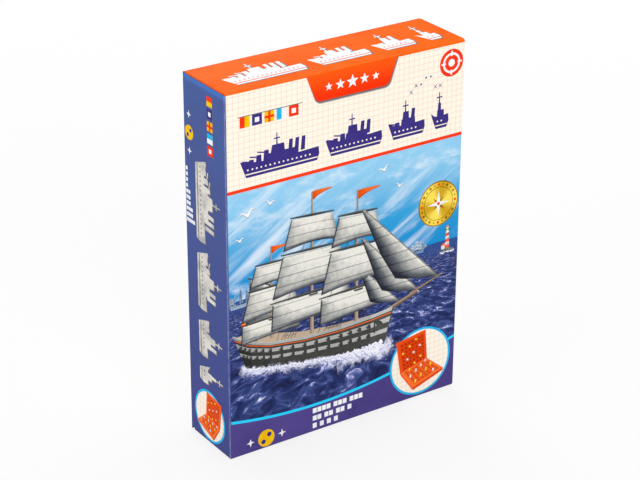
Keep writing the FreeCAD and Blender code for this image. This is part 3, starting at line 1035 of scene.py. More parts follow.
# %% [markdown]
# ## Shapes and inks
# The flat signs on the panels are made of four shapes: an outline, a bar, a disc and a star. The inks are
# plain colours, each a little uneven. The first piece is the front's own print, a plate that is thinner
# than any ink and lies on the flat of the panel, between the folds.

# %% Shapes and inks
# The first value sets the pale scuffing and painted highlight on the folds for the inks.
ink_scuff_highlight, ink_drift = 0.3, 0.12
front_level = -0.8


def shape(bm, outline, ink, layer=0):
    face = bm.faces.new([bm.verts.new((u, v, 0)) for u, v in outline])
    return raise_ink(bm, face, ink, layer)


def bar(bm, low, high, ink, layer=0):
    return shape(bm, [low, (high[0], low[1]), high, (low[0], high[1])], ink, layer)


def disc(bm, middle, radius, ink, layer=0, sides=48):
    place = Matrix.Translation((*middle, 0))
    verts = bmesh.ops.create_circle(bm, cap_ends=True, radius=radius, segments=sides, matrix=place)["verts"]
    return raise_ink(bm, verts[0].link_faces[0], ink, layer)


def star(bm, middle, points, outer, inner, ink, layer=0, turn=0.0):
    corners = []
    for i in range(2 * points):
        reach = inner if i % 2 else outer
        angle = pi / 2 + turn + i * pi / points
        corners.append((middle[0] + reach * cos(angle), middle[1] + reach * sin(angle)))
    return shape(bm, corners, ink, layer)


ink_tones = {
    "white": ((250, 250, 250), (240, 242, 246)), "navy": ((66, 54, 134), (58, 48, 122)),
    "red": ((250, 62, 24), (240, 52, 20)), "yellow": ((250, 200, 20), (244, 186, 10)),
    "cyan": ((36, 176, 232), (50, 190, 240)), "grey": ((120, 112, 112), (104, 98, 100)),
    "cream": ((255, 246, 228), (250, 238, 216)), "shade": ((206, 196, 186), (196, 188, 178)),
    "silver": ((226, 222, 214), (176, 174, 172))}
inks = {}
for word, (tone, other) in ink_tones.items():
    inks[word] = printed_board(word + "_print", solid(srgb(*tone), srgb(*other), ink_drift), scuff_highlight=ink_scuff_highlight)
print("inks:", list(inks))

sheet = bmesh.new()
board_mm = board / MM
bar(sheet, (board_mm - width / 2, board_mm), (width / 2 - board_mm, height - board_mm), 0, front_level)
print_on("front_sheet", sheet, "front", [front_print])

# %% [markdown]
# ## A ship in outline
# The signs on the panels show ships in side view, as flat cut-outs. A ship's outline is a hull, a
# deckhouse, a mast with its yard, a row of portholes and, for each deck after the first, a funnel and a
# gun. Its length goes with the number of decks, and its height is the same for all.

# %% A ship in outline
outline_units = 21
porthole_step, porthole_radius = 3.2, 0.62


def ship_outline(bm, x, decks, cell, tall, ink, hole_ink, layer):
    """Side view of a ship with its bow to the left, standing on the line v = 0."""
    long, unit = decks * cell, tall / outline_units
    mast = 0.46 * long
    made = []

    def part(corners, step, number=ink):
        made.extend(shape(bm, [(x + u, v * unit) for u, v in corners], number, layer + step))

    def tower(foot, head, low, high, step):
        part(((foot[0], low), (foot[1], low), (head[1], high), (head[0], high)), step)

    part(((0, 9.4), (2.6, 3.4), (4.2, 0), (long - 1.6, 0), (long, 3.6), (long - 0.4, 7.6),
          (0.5 * long, 6.8), (0.22 * long, 7.4)), 0)
    tower((0.34 * long, 0.74 * long), (0.36 * long, 0.72 * long), 6, 10.6, 0.2)
    tower((0.38 * long, 0.56 * long), (0.40 * long, 0.55 * long), 10, 14.6, 0.4)
    tower((mast - 0.5, mast + 0.5), (mast - 0.3, mast + 0.3), 14, 21, 0.6)
    tower((mast - 2.2, mast + 2.2), (mast - 2.2, mast + 2.2), 17.6, 18.3, 0.8)
    for funnel in range(decks - 1):
        foot = 0.60 * long + 4.6 * funnel
        tower((foot, foot + 3.0), (foot + 0.9, foot + 3.5), 8, 15.6, 0.3)
    for gun in range(decks - 1):
        foot = 0.16 * long + 5.4 * gun - 1.8 * (decks - 2)
        rise = 7.0 + 1.7 * gun
        tower((foot, foot + 4.4), (foot + 0.8, foot + 4.0), 6, rise + 2.4, 0.5)
        part(((foot - 4.2, rise + 2.0), (foot + 1.4, rise + 0.9), (foot + 1.4, rise + 1.7),
              (foot - 4.2, rise + 2.7)), 0.7)
    for hole in range(int((long - 7) / porthole_step)):
        middle = (x + 5.4 + porthole_step * hole, 4.2 * unit)
        made.extend(disc(bm, middle, porthole_radius, hole_ink, layer + 1.2, 12))
    part(((3.9, 1.5), (long - 1.3, 1.5), (long - 1.1, 2.1), (3.6, 2.1)), 1.2, hole_ink)
    return made


print("ship outlines are", outline_units, "units tall")

# %% [markdown]
# ## A fleet in line
# The bold line across the front, the sides and the top shows the fleet that each player hides: a ship
# of four decks, one of three, one of two and one of one. On the dark sides the line is silver, with a
# dark copy set off behind it as a shadow.

# %% A fleet in line
def fleet_row(bm, cell, gap, tall, place, ink, hole_ink, layer=0):
    """Four ships in a row, put in place by a matrix."""
    made, x = [], 0.0
    for decks in (4, 3, 2, 1):
        made += ship_outline(bm, x, decks, cell, tall, ink, hole_ink, layer)
        x += decks * cell + gap
    move(bm, made, place)


def print_fleet(name, side, sizes, place, looks, shadow=None, **rides):
    """A fleet line: the first look is the ships', the last their portholes', the second a shadow's."""
    bm = bmesh.new()
    if shadow:
        fleet_row(bm, *sizes, shadow, 1, 1)
    fleet_row(bm, *sizes, place, 0, len(looks) - 1, layer=2 if shadow else 0)
    print_on(name, bm, side, looks, **rides)


print_fleet("front_fleet_line", "front", (14.3, 4.6, 25.0), at(-79, 193), [inks["navy"], inks["cream"]])
for side in ("left", "right"):
    print_fleet(side + "_fleet_line", side, (14.1, 5.0, 28.0), at(-11, 199, -pi / 2),
                [inks["silver"], inks["grey"]], shadow=at(-10.2, 198.4, -pi / 2))
print_fleet("top_fleet_line", "top", (13.8, 6.4, 28.0), at(-77.8, -15),
            [inks["white"], inks["grey"], inks["red"]], shadow=at(-77, -15.8),
            body="top_closure", slot="orange_board")

# %% [markdown]
# ## The ship in the picture
# Box artists work from photographs or models. Here a ship is modelled at full size in metres, bow along
# x, port along y, and then flattened onto the panel as a view of it: each point goes where its sight
# line meets the print, and nearer points lie a little higher, so what is in front covers what is behind.
# Before flattening, the light on each face is kept in an attribute named `tone`, which the paint reads.

# %% Model helpers
picture_light = (0.30, 0.72, 0.55)


def block(bm, foot, size, number, taper=1.0):
    """A box that stands on its foot point, drawn in towards the top."""
    made = bmesh.ops.create_cube(bm, size=1.0)["verts"]
    bmesh.ops.translate(bm, verts=made, vec=(0, 0, 0.5))
    bmesh.ops.scale(bm, verts=[v for v in made if v.co.z > 0.5], vec=(taper, taper, 1))
    bmesh.ops.scale(bm, verts=made, vec=size)
    bmesh.ops.translate(bm, verts=made, vec=foot)
    set_ink(made, number)


def post(bm, foot, head, radius, number, sides=6, tip=1.0):
    """A round post between two points, narrowing to a share of its radius."""
    foot, head = Vector(foot), Vector(head)
    way = head - foot
    place = Matrix.Translation((foot + head) / 2) @ way.to_track_quat("Z", "Y").to_matrix().to_4x4()
    made = bmesh.ops.create_cone(bm, cap_ends=True, segments=sides, radius1=radius, radius2=radius * tip,
                                 depth=way.length, matrix=place)["verts"]
    set_ink(made, number)


def ball(bm, middle, size, number, rounds=1):
    place = Matrix.Translation(middle) @ Matrix.Diagonal((*size, 1))
    set_ink(bmesh.ops.create_icosphere(bm, subdivisions=rounds, radius=1.0, matrix=place)["verts"], number)


def loft(bm, rings, number):
    """A skin over rings of points, closed at both ends."""
    loops = [[bm.verts.new(p) for p in ring] for ring in rings]
    edges = [[bm.edges.new(pair) for pair in zip(loop, loop[1:] + loop[:1])] for loop in loops]
    for first, second in zip(edges, edges[1:]):
        bmesh.ops.bridge_loops(bm, edges=first + second)
    for loop in (loops[0], loops[-1]):
        bm.faces.new(loop)
    set_ink([v for loop in loops for v in loop], number)


def put_on_paper(bm, view, light=picture_light, smooth=()):
    """Keep each face's light, then flatten the model into the view. Smooth inks are shaded by corner."""
    turn_outwards(bm)
    bm.normal_update()
    tone = bm.loops.layers.float.new("tone")
    lift_above = bm.verts.layers.float.new("lift")
    way = (view["across"] * light[0] + view["up"] * light[1] - view["forward"] * light[2]).normalized()
    for face in bm.faces:
        for loop in face.loops:
            normal = loop.vert.normal if face.material_index in smooth else face.normal
            loop[tone] = 0.5 + 0.5 * normal.dot(way)
    for vertex in bm.verts:
        vertex[lift_above] = vertex.co.z
        vertex.co = on_paper(view, vertex.co)


print("light in the picture from", picture_light, "across, up and towards the viewer")

# %% [markdown]
# ## The hull
# A hull is a skin over cross sections. Each station gives the places of the deck edge and of the water
# line, their half widths and the deck's height. `hull_point` walks along the side that the viewer sees,
# so planks, gun ports and, later, the foam can follow it without measuring anything twice.

# %% The hull
hull_stations = (
    (31.0, 28.0, 0.4, 0.2, 9.4), (26.5, 24.5, 4.2, 1.8, 8.8), (18.0, 17.0, 6.4, 4.8, 8.0),
    (4.0, 4.0, 7.0, 6.6, 7.2), (-12.0, -12.0, 6.8, 6.4, 7.4), (-24.0, -23.0, 6.0, 5.0, 8.8),
    (-33.0, -29.0, 5.0, 3.0, 11.2))
flare_level, flare_share = 0.45, 0.45
last_station = len(hull_stations) - 1


def hull_ring(x_deck, x_water, half_deck, half_water, deck):
    """One cross section, from the deck edge on the seen side round to the hidden one."""
    x_flare = x_water + (x_deck - x_water) * flare_level
    half_flare = half_water + (half_deck - half_water) * flare_share
    seen = [(x_deck, -half_deck, deck), (x_flare, -half_flare, deck * flare_level), (x_water, -half_water, 0)]
    return seen + [(x, -y, z) for x, y, z in reversed(seen)]


def hull_point(place, share):
    """A point on the seen side: place counts stations from the bow, share goes from water to deck."""
    first = min(int(place), last_station - 1)
    rings = (hull_ring(*station)[:3] for station in hull_stations[first:first + 2])
    deck, flare, water = (Vector(a).lerp(Vector(b), place - first) for a, b in zip(*rings))
    if share > flare_level:
        return flare.lerp(deck, (share - flare_level) / (1 - flare_level))
    return water.lerp(flare, share / flare_level)


hull_length = hull_stations[0][0] - hull_stations[-1][0]
print("hull of", len(hull_stations), "stations,", hull_length, "m long on deck")

# %% [markdown]
# ## Planks and fittings
# Two pale strakes with gun ports run along the side that is seen, with a rail above them. An anchor hangs
# at the bow, under the long spar that the head sails need, and a lantern stands at the stern.

# %% Planks and fittings
HULL, SPAR, SAIL, ROPE, STRAKE, PENNANT = range(6)
plank_steps = 30
gun_ports = 15
level_enough = 0.7


def strake(bm, low, high, proud, number):
    """A plank along the seen side, between two shares of its height."""
    out = along_y * -proud
    rings = []
    for i in range(plank_steps + 1):
        foot, head = (hull_point(i * last_station / plank_steps, share) for share in (low, high))
        rings.append([foot, foot + out, head + out, head])
    loft(bm, rings, number)


def hull_fittings(bm):
    """Two pale strakes with gun ports, a rail, an anchor and a lantern at the stern."""
    for low, high in ((0.40, 0.52), (0.68, 0.82)):
        strake(bm, low, high, 0.15, STRAKE)
        for i in range(gun_ports):
            port = hull_point(1.05 + 0.325 * i, (low + high) / 2)
            block(bm, port + Vector((0, -0.1, -0.5)), (1.0, 0.5, 1.0), ROPE)
            post(bm, port, port - along_y * 1.3, 0.2, ROPE)
    strake(bm, 0.97, 1.07, 0.25, STRAKE)
    strake(bm, 0.90, 0.93, 0.2, PENNANT)
    anchor = hull_point(0.75, 0.86) - along_y * 0.5
    post(bm, anchor, anchor - up_z * 3.2, 0.22, ROPE)
    post(bm, anchor - Vector((1.1, 0, 2.6)), anchor - Vector((-1.1, 0, 2.6)), 0.2, ROPE)
    post(bm, (28.0, 0, 8.8), (39.0, 0, 12.6), 0.6, SPAR, sides=8, tip=0.75)
    post(bm, (36.5, 0, 12.2), (46.0, 0, 15.4), 0.35, SPAR, sides=8, tip=0.5)
    post(bm, (-33.0, 0, 11.0), (-34.0, 0, 14.0), 0.2, ROPE)
    ball(bm, (-34.0, 0, 14.6), (0.8, 0.8, 1.0), PENNANT, rounds=2)


def model_hull():
    bm = bmesh.new()
    loft(bm, [hull_ring(*station) for station in hull_stations], HULL)
    turn_outwards(bm)
    bm.normal_update()
    for face in bm.faces:
        if face.normal.z > level_enough:
            face.material_index = SPAR
    hull_fittings(bm)
    return bm


print("planks follow the hull in", plank_steps, "steps")

# %% [markdown]
# ## Sails
# A square sail hangs between two yards and fills with wind, so each row of it is an arc, flat at the yard
# and deepest low down. It gets a front and a back and is lofted row by row, which keeps it closed. The
# yards are braced, turned round the mast, so that the viewer sees the sails almost from the front. Sails
# on stays run along the ship.

# %% Sails
brace_turn = -17
brace = Matrix.Rotation(radians(brace_turn), 3, "Z")
sail_rows, sail_columns, cloth = 8, 10, 0.7


def square_sail(bm, mast_x, foot, head, foot_half, head_half):
    rings = []
    for i in range(sail_rows + 1):
        rise = i / sail_rows
        half = foot_half + (head_half - foot_half) * rise
        belly = 0.32 * half * sin(0.62 * pi * (1 - rise))
        arch = 0.10 * (head - foot) * (1 - rise)
        row = []
        for j in range(sail_columns + 1):
            side = 2 * j / sail_columns - 1
            bulge = 1 - side * side
            spot = Vector((0.6 + belly * bulge, half * side, foot + (head - foot) * rise + arch * bulge))
            row.append(brace @ spot + across_x * mast_x)
        rings.append(row + [p - across_x * cloth for p in reversed(row)])
    loft(bm, rings, SAIL)


def stay_sail(bm, tack, head, peak, clew, number=SAIL):
    """A sail along the ship, from its front edge (tack to head) to its rear edge (clew to peak)."""
    tack, head, peak, clew = (Vector(p) for p in (tack, head, peak, clew))
    rings = []
    for i in range(sail_rows + 1):
        luff, leech = tack.lerp(head, i / sail_rows), clew.lerp(peak, i / sail_rows)
        fill = 0.16 * (leech - luff).length
        row = []
        for j in range(sail_columns + 1):
            share = j / sail_columns
            row.append(luff.lerp(leech, share) - along_y * (fill * sin(pi * share)))
        rings.append(row + [p + along_y * cloth for p in reversed(row)])
    loft(bm, rings, number)


print("yards braced by", -brace_turn, "degrees")

# %% [markdown]
# ## Masts and rigging
# A mast is three posts, one above the other, with a top where the first two meet. The levels of its yards
# and sails are shares of its height, so the three masts differ only in place and height. The lines of the
# rigging are thin posts too.

# %% Masts and rigging
mast_list = ((18.0, 43.0), (0.0, 48.0), (-19.0, 37.0))
yard_levels = ((0.405, 0.300), (0.665, 0.225), (0.865, 0.160))
sail_levels = ((0.245, 0.395, 0.285, 0.275), (0.425, 0.655, 0.275, 0.205), (0.685, 0.855, 0.200, 0.145))
head_sails = (((45.0, 0, 15.0), (20.0, 0, 37.5), (30.0, 0, 17.5)),
              ((39.0, 0, 12.8), (20.0, 0, 30.0), (26.5, 0, 15.0)),
              ((33.0, 0, 11.0), (19.5, 0, 22.0), (23.0, 0, 12.5)))
deck_level, deck_half = 8.0, 6.9
shrouds, ratlines = 5, 12


def rig_mast(bm, x, tall):
    """One mast with its top, yards, sails, shrouds and pennant."""
    top_level = 0.40 * tall
    poles = ((deck_level - 2, top_level, 0.62), (top_level - 1, 0.70 * tall, 0.45), (0.68 * tall, tall, 0.28))
    for low, high, radius in poles:
        post(bm, (x, 0, low), (x, 0, high), radius, SPAR, sides=8, tip=0.8)
    post(bm, (x, 0, top_level - 0.8), (x, 0, top_level - 0.3), 1.9, ROPE, sides=12)
    for level, half in yard_levels:
        for side in (-1, 1):
            end = brace @ Vector((0.5, side * half * tall, 0)) + Vector((x, 0, level * tall))
            post(bm, (x + 0.5, 0, level * tall), end, 0.36, ROPE, tip=0.45)
    for levels in sail_levels:
        square_sail(bm, x, *(share * tall for share in levels))
    for side in (-1, 1):
        feet = [Vector((x - 0.8 - 1.5 * i, side * deck_half, deck_level)) for i in range(shrouds)]
        hound = Vector((x, side * 0.5, top_level))
        for foot in feet:
            post(bm, foot, hound, 0.08, ROPE, sides=4)
        for i in range(1, ratlines):
            rise = i / ratlines
            post(bm, feet[0].lerp(hound, rise), feet[-1].lerp(hound, rise), 0.06, ROPE, sides=4)
        post(bm, feet[-1] - across_x * 2, (x, 0, 0.86 * tall), 0.07, ROPE, sides=4)
    fly = x + 7.5
    stay_sail(bm, (x, 0, tall - 2.2), (x, 0, tall), (fly, 0, tall - 0.9), (fly, 0, tall - 1.1), PENNANT)


def model_ship():
    bm = model_hull()
    for x, tall in mast_list:
        rig_mast(bm, x, tall)
    for tack, head, clew in head_sails:
        stay_sail(bm, tack, head, Vector(head) - Vector((0.4, 0, 0.3)), clew)
        post(bm, tack, head, 0.07, ROPE, sides=4)
    stay_sail(bm, (-19.8, 0, 13.0), (-19.8, 0, 25.0), (-30.0, 0, 29.0), (-33.0, 0, 13.5))
    post(bm, (-19.5, 0, 12.6), (-34.5, 0, 13.2), 0.28, ROPE)
    post(bm, (-19.5, 0, 25.0), (-31.0, 0, 29.4), 0.24, ROPE)
    return bm


ship = model_ship()
print("ship:", len(mast_list), "masts,", len(ship.faces), "faces")

# %% [markdown]
# ## Paint for the picture
# A painted picture has its light in it. The ramp of each paint goes from the shaded to the lit colour and
# reads the `tone` that was kept on the model. Streaks break the ramp up, foam washes over the hull near the
# water, and the sails show the seams of their cloth, all by the height kept in `lift`.

# %% Paint for the picture
paint_gloss = 0.6
wash_white = srgb(226, 226, 246)


def painted(name, stops, grain=0.10, foam=0.0, seams=0.0):
    """Paint in a picture: a ramp over the light on the model, with streaks, foam or seams of cloth."""
    made, tree, shader = start_material(name, specular=print_specular)
    spot = place_group(tree, "place on carton")
    tone, level = (node(tree, "Attribute", attribute_name=kept).outputs["Fac"] for kept in ("tone", "lift"))
    streaks = noise(tree, spot["Place"], 0.25, 7.0, 0.68)
    shade = calc(tree, "MULTIPLY_ADD", calc(tree, "SUBTRACT", streaks, 0.5), grain, tone)
    if seams:
        off_seam = band(tree, calc(tree, "PINGPONG", level, seams / 2), 0.0, 0.22)
        shade = calc(tree, "ADD", shade, calc(tree, "MULTIPLY_ADD", off_seam, 0.16, -0.16))
    colour = ramp(tree, shade, stops)
    if foam:
        froth = noise(tree, spot["Place"], 0.55, 8.0, 0.7)
        above = calc(tree, "DIVIDE", level, foam)
        wash = band(tree, calc(tree, "SUBTRACT", calc(tree, "MULTIPLY", froth, 1.6), above), 0.45, 0.75)
        colour = mix(tree, wash, colour, wash_white)
    varnish_over(tree, shader, colour, paint_gloss)
    return made


def greys(*levels):
    """Evenly spaced stops of a slightly warm grey, from dark to light."""
    return [(i / (len(levels) - 1), g, g + 1, g - 2) for i, g in enumerate(levels)]


ship_paints = [
    painted("hull_paint", greys(8, 20, 52, 92, 140), 0.22, foam=3.0),
    painted("spar_paint", ((0.0, 52, 40, 34), (0.5, 120, 98, 82), (1.0, 206, 184, 160))),
    painted("sail_paint", ((0.34, 40, 44, 54), (0.62, 98, 102, 108), (0.80, 160, 161, 158),
                           (0.97, 236, 233, 224)), 0.24, seams=2.6),
    painted("rigging_paint", greys(12, 24, 44, 70, 100)),
    painted("strake_paint", greys(60, 110, 160, 205, 235), 0.2),
    painted("pennant_paint", ((0.0, 150, 40, 6), (0.5, 236, 84, 18), (1.0, 255, 150, 70)))]
put_on_paper(ship, main_view, smooth=(SAIL, PENNANT))
print_on("front_ship_picture", ship, "front", ship_paints)

# %% [markdown]
# ## Foam
# A bow throws up white water. Small balls scattered along the water line, larger and higher at the bow,
# are the froth. The scatter is seeded, so the foam is the same each time.

# %% Foam
scatter = Random(11)
foam_balls = 900
foam_paint = painted("foam_paint", ((0.15, 96, 100, 172), (0.45, 176, 178, 226), (0.75, 246, 246, 255)), 0.9)
spray = bmesh.new()
for i in range(foam_balls):
    aft = scatter.random() ** 1.4
    strength = (1 - aft) ** 2
    spot = hull_point(last_station * aft, 0.0)
    out = scatter.uniform(-0.3, 0.7) + strength * scatter.uniform(0.0, 5.5)
    size = scatter.uniform(0.12, 0.36 + 0.40 * strength)
    rise = scatter.uniform(-0.5, 0.2) + strength * scatter.uniform(0.0, 2.4) * max(0.0, 1 - out / 6)
    ball(spray, spot + Vector((0.25 * out, -out, rise)), (size, size, 0.8 * size), 0)
put_on_paper(spray, main_view, smooth=(0,))
print_on("front_spray_picture", spray, "front", [foam_paint])

# %% [markdown]
# ## Lighthouse
# A lighthouse stands on rocks at the right of the picture: a tower of six tapering drums in two colours,
# a gallery with its rail, a lantern under a pointed roof and a keeper's house. It has a view of its own,
# from far off with a short focal length, so it comes out small.

# %% Lighthouse
RED_BAND, WHITE_BAND, DARK, GLASS, ROCK = range(5)
drums, drum_height, tower_foot, tower_radius, tower_taper = 6, 4, 5, 3.6, 0.22
gallery, rail_radius, rail_posts = 29, 3.2, 16
rock_count, rock_reach = 46, 10


def model_lighthouse():
    bm = bmesh.new()
    for i in range(drums):
        low = tower_foot + drum_height * i
        wide = tower_radius - tower_taper * i
        colour = WHITE_BAND if i % 2 else RED_BAND
        post(bm, (0, 0, low), (0, 0, low + drum_height), wide, colour, sides=24, tip=1 - tower_taper / wide)
    post(bm, (0, 0, gallery), (0, 0, gallery + 0.7), 3.4, DARK, sides=24)
    for i in range(rail_posts):
        angle = 2 * pi * i / rail_posts
        foot = Vector((rail_radius * cos(angle), rail_radius * sin(angle), gallery + 0.7))
        post(bm, foot, foot + up_z * 1.5, 0.12, DARK, sides=4)
    post(bm, (0, 0, gallery + 0.7), (0, 0, 33.5), 1.7, GLASS, sides=12)
    post(bm, (0, 0, 33.5), (0, 0, 36.2), 2.2, RED_BAND, sides=16, tip=0.08)
    block(bm, (-7, 2, 4), (6, 8, 5), WHITE_BAND)
    block(bm, (-7, 2, 9), (7, 9, 3), RED_BAND, taper=0.4)
    for level in (9.5, 16.5, 23.5):
        block(bm, (2.9, -1.6, level), (1.2, 1.2, 2.0), DARK)
    rocks = Random(5)
    for i in range(rock_count):
        reach, angle = rock_reach * rocks.random() ** 0.6, rocks.uniform(0, 2 * pi)
        size = rocks.uniform(1.4, 3.6)
        middle = (reach * cos(angle), reach * sin(angle), (rock_reach - reach) * 0.4)
        ball(bm, middle, (size, size, 0.8 * size), ROCK)
    return bm


tower_paints = [
    painted("tower_red", ((0.1, 110, 22, 12), (0.6, 226, 60, 30), (1.0, 255, 120, 84))),
    painted("tower_white", greys(110, 170, 225, 250)),
    painted("tower_dark", greys(20, 46, 80)),
    painted("tower_glass", ((0.0, 200, 140, 20), (1.0, 255, 240, 150))),
    painted("tower_rock", greys(20, 48, 88, 140), 0.5, foam=3.0)]
lighthouse = model_lighthouse()
put_on_paper(lighthouse, picture_view((190, -250, 16), (0, 0, 16), 165, (80, horizon), 290, 340, 0.02, 0.06))
print_on("front_lighthouse", lighthouse, "front", tower_paints)

# %% [markdown]
# ## The far fleet
# Two more ships sail on the horizon. They are the same model seen from far off, in one paint that the
# haze has turned blue.

# %% The far fleet
far_level, far_focal, far_reach = 18, 170, 60
haze_paint = painted("haze_paint", ((0.2, 44, 72, 118), (0.6, 120, 150, 190), (1.0, 206, 222, 236)))
for word, eye_x, eye_y, across in (("left", -300, -500, -80), ("right", 420, -640, 55)):
    far_off = Vector((eye_x, eye_y)).length
    far_view = picture_view((eye_x, eye_y, far_level), (0, 0, far_level), far_focal, (across, horizon),
                            far_off - far_reach, far_off + far_reach, 0.008, 0.01)
    far_ship = model_ship()
    set_ink(far_ship.verts, 0)
    put_on_paper(far_ship, far_view)
    print_on("front_far_ship_" + word, far_ship, "front", [haze_paint])

# %% [markdown]
# ## Gulls
# A gull far off is two bent strokes. One outline, set at several sizes and turns, with a grey copy just
# below it for shade, is enough.

# %% Gulls
gull_outline = ((-6, 2.0), (-3.2, 3.5), (0, 1.3), (3.2, 3.5), (6, 2.0), (3.1, 2.5), (0.5, -0.9), (-0.5, -0.9),
                (-3.1, 2.5))
gull_places = ((-74, 168, 1.1, 0.25), (-58, 172, 0.7, -0.2), (-80, 152, 0.6, 0.1), (28, 174, 0.8, 0.3),
               (40, 160, 0.6, -0.3))
gulls = bmesh.new()
for u, v, size, turn in gull_places:
    for ink, layer, shift in ((1, 0, -0.35), (0, 1, 0)):
        place = at(u, v + shift, turn) @ Matrix.Diagonal((size, size, 1, 1))
        move(gulls, shape(gulls, gull_outline, ink, layer), place)
print_on("front_gulls", gulls, "front", [inks["white"], inks["grey"]])

# %% [markdown]
# ## Signal flags
# A string of signal flags fills the left of the squared paper and hangs on the sides too. A flag is a
# square of one colour with a second one over it, as a half, a cross or a smaller square.

# %% Signal flags
RED, WHITE, NAVY, YELLOW, GREY, CYAN, TAB, SHADE = range(8)
flag_string = ((RED, YELLOW, "halves"), (NAVY, WHITE, "square"), (YELLOW, RED, "cross"),
               (CYAN, WHITE, "halves"), (RED, WHITE, "square"))
flag_bars = {
    "halves": ((0.5, 0.0, 1.0, 1.0),), "square": ((0.28, 0.28, 0.72, 0.72),),
    "cross": ((0.0, 0.38, 1.0, 0.62), (0.38, 0.0, 0.62, 1.0))}


def hang_flags(bm, size, place):
    """Five flags on a cord, put in place by a matrix."""
    step = size * 1.25
    made = bar(bm, (-1.5, size), (step * len(flag_string) + 1.0, size + 0.5), GREY)
    for i, (first, second, style) in enumerate(flag_string):
        u = i * step
        made += bar(bm, (u, 0), (u + size, size), first, 1)
        for order, (low_u, low_v, high_u, high_v) in enumerate(flag_bars[style]):
            made += bar(bm, (u + low_u * size, low_v * size), (u + high_u * size, high_v * size), second,
                        2 + 0.3 * order)
    move(bm, made, place)


print("flags on a string:", len(flag_string))

# %% [markdown]
# ## Badges on the front
# A red tab with stars hangs from the top fold over a soft grey shadow, and a red disc with a target sits
# in the corner. A few pencil marks of a game, crosses for hits and dots for misses, stand in the squares
# beside the flags.

# %% Badges on the front
tab_low, tab_high = 231.2, 248.5
target, target_rings = (78.8, 235.8), ((9.2, RED), (6.8, WHITE), (5.3, RED), (2.5, WHITE))
pencil_marks = (1, 0, 0, 1, 1, 0, 1)


def tab_zones(tree, spot):
    return mix(tree, band(tree, spot["Z"], tab_low, tab_high), srgb(250, 50, 10), srgb(255, 88, 20))


def tab(bm, drop, right_by, rounding, ink, layer):
    """A tab that narrows downwards, its two lower corners rounded."""
    low = tab_low - drop
    corners = ((-31.3, tab_high), (-24.0, low), (29.8 + right_by, low), (36.4 + right_by, tab_high))
    face = bm.faces.new([bm.verts.new((u, v, 0)) for u, v in corners])
    rounded = bmesh.ops.bevel(bm, geom=face.verts[1:3], offset=rounding, affect="VERTICES", segments=5,
                              profile=0.5, material=-1)
    raise_ink(bm, rounded["verts"][0].link_faces[0], ink, layer)


badge_inks = [inks[word] for word in ("red", "white", "navy", "yellow", "grey", "cyan")]
badge_inks += [printed_board("tab_print", tab_zones), inks["shade"]]
badges = bmesh.new()
tab(badges, 1.9, 1.2, 4.0, SHADE, 0)
tab(badges, 1.2, 0.7, 3.6, GREY, 1)
tab(badges, 0.0, 0.0, 3.0, TAB, 2)
for u, size in ((-15, 2.8), (-6.5, 3.6), (2.5, 4.6), (11.5, 3.6), (20, 2.8)):
    star(badges, (u, 239.4), 5, size, size * 0.42, WHITE, 3)
for layer, (radius, ink) in enumerate(target_rings):
    disc(badges, target, radius, ink, layer)
for turn in range(4):
    move(badges, bar(badges, (4.6, -0.55), (8.0, 0.55), WHITE, 5), at(*target, turn * pi / 2))
hang_flags(badges, 7.0, at(-79, 226.0))
for i, hit in enumerate(pencil_marks):
    u, v = square_pitch * (12.5 + 2 * i % 7), square_pitch * (58.5 + i % 3)
    if hit:
        for turn in (pi / 4, -pi / 4):
            move(badges, bar(badges, (-1.5, -0.2), (1.5, 0.2), NAVY, 0.3 + turn / 4), at(u, v, turn))
    else:
        disc(badges, (u, v), 0.7, NAVY, 0, 12)
print_on("front_badges", badges, "front", badge_inks)

# %% [markdown]
# ## The gold seal
# The round seal is built like a coin: rings of two golds, beads round the rim and a compass rose. The gold
# brightens and darkens round the middle, as brushed foil does.

# %% The gold seal
seal_middle, seal_radius = (71.8, 140.0), 16.0
bead_circle, beads = 0.845 * seal_radius, 24
LIGHT_GOLD, DARK_GOLD, ROSE, ACCENT = range(4)
seal_rings = ((1.0, DARK_GOLD), (0.95, LIGHT_GOLD), (0.74, DARK_GOLD), (0.71, LIGHT_GOLD))


def gold(name, dark, light):
    def sheen(tree, spot):
        du = calc(tree, "SUBTRACT", spot["X"], seal_middle[0])
        dv = calc(tree, "SUBTRACT", spot["Z"], seal_middle[1])
        angle = calc(tree, "ARCTAN2", dv, du)
        sweep = calc(tree, "SINE", calc(tree, "MULTIPLY_ADD", angle, 3.0, 0.9))
        fine = noise(tree, spot["Place"], 0.5, 4.0)
        return mix(tree, band(tree, calc(tree, "ADD", sweep, fine), -0.8, 1.6), dark, light)
    return printed_board(name, sheen, gloss=0.72)


seal = bmesh.new()
for layer, (share, ink) in enumerate(seal_rings):
    disc(seal, seal_middle, seal_radius * share, ink, layer, 72)
for i in range(beads):
    angle = 2 * pi * i / beads
    spot = (seal_middle[0] + bead_circle * cos(angle), seal_middle[1] + bead_circle * sin(angle))
    disc(seal, spot, 0.62 if i % 2 else 0.95, DARK_GOLD if i % 6 else ACCENT, 2, 12)
star(seal, seal_middle, 4, 6.4, 1.6, DARK_GOLD, 4, pi / 4)
star(seal, seal_middle, 4, 9.0, 1.9, ROSE, 5)
disc(seal, seal_middle, 1.1, ACCENT, 6, 20)
print_on("front_seal", seal, "front", [
    gold("gold_light", srgb(206, 160, 24), srgb(255, 226, 92)),
    gold("gold_dark", srgb(122, 84, 8), srgb(176, 130, 22)), inks["white"], inks["red"]])

# %% [markdown]
# ## The foot
# The foot shows how many play, as the two dots of a die between two stars, and the fleet that each of
# them hides, in squares as on paper.

# %% The foot
fleet_squares = ((4, 3, 3), (2, 2, 2, 1), (1, 1, 1, 1))


def players_sign(bm, middle, radius):
    """A yellow disc with the two dots of a die."""
    disc(bm, middle, radius, YELLOW)
    for way in (-1, 1):
        dot = (middle[0] + way * 0.36 * radius, middle[1] + way * 0.36 * radius)
        disc(bm, dot, 0.27 * radius, NAVY, 1, 24)


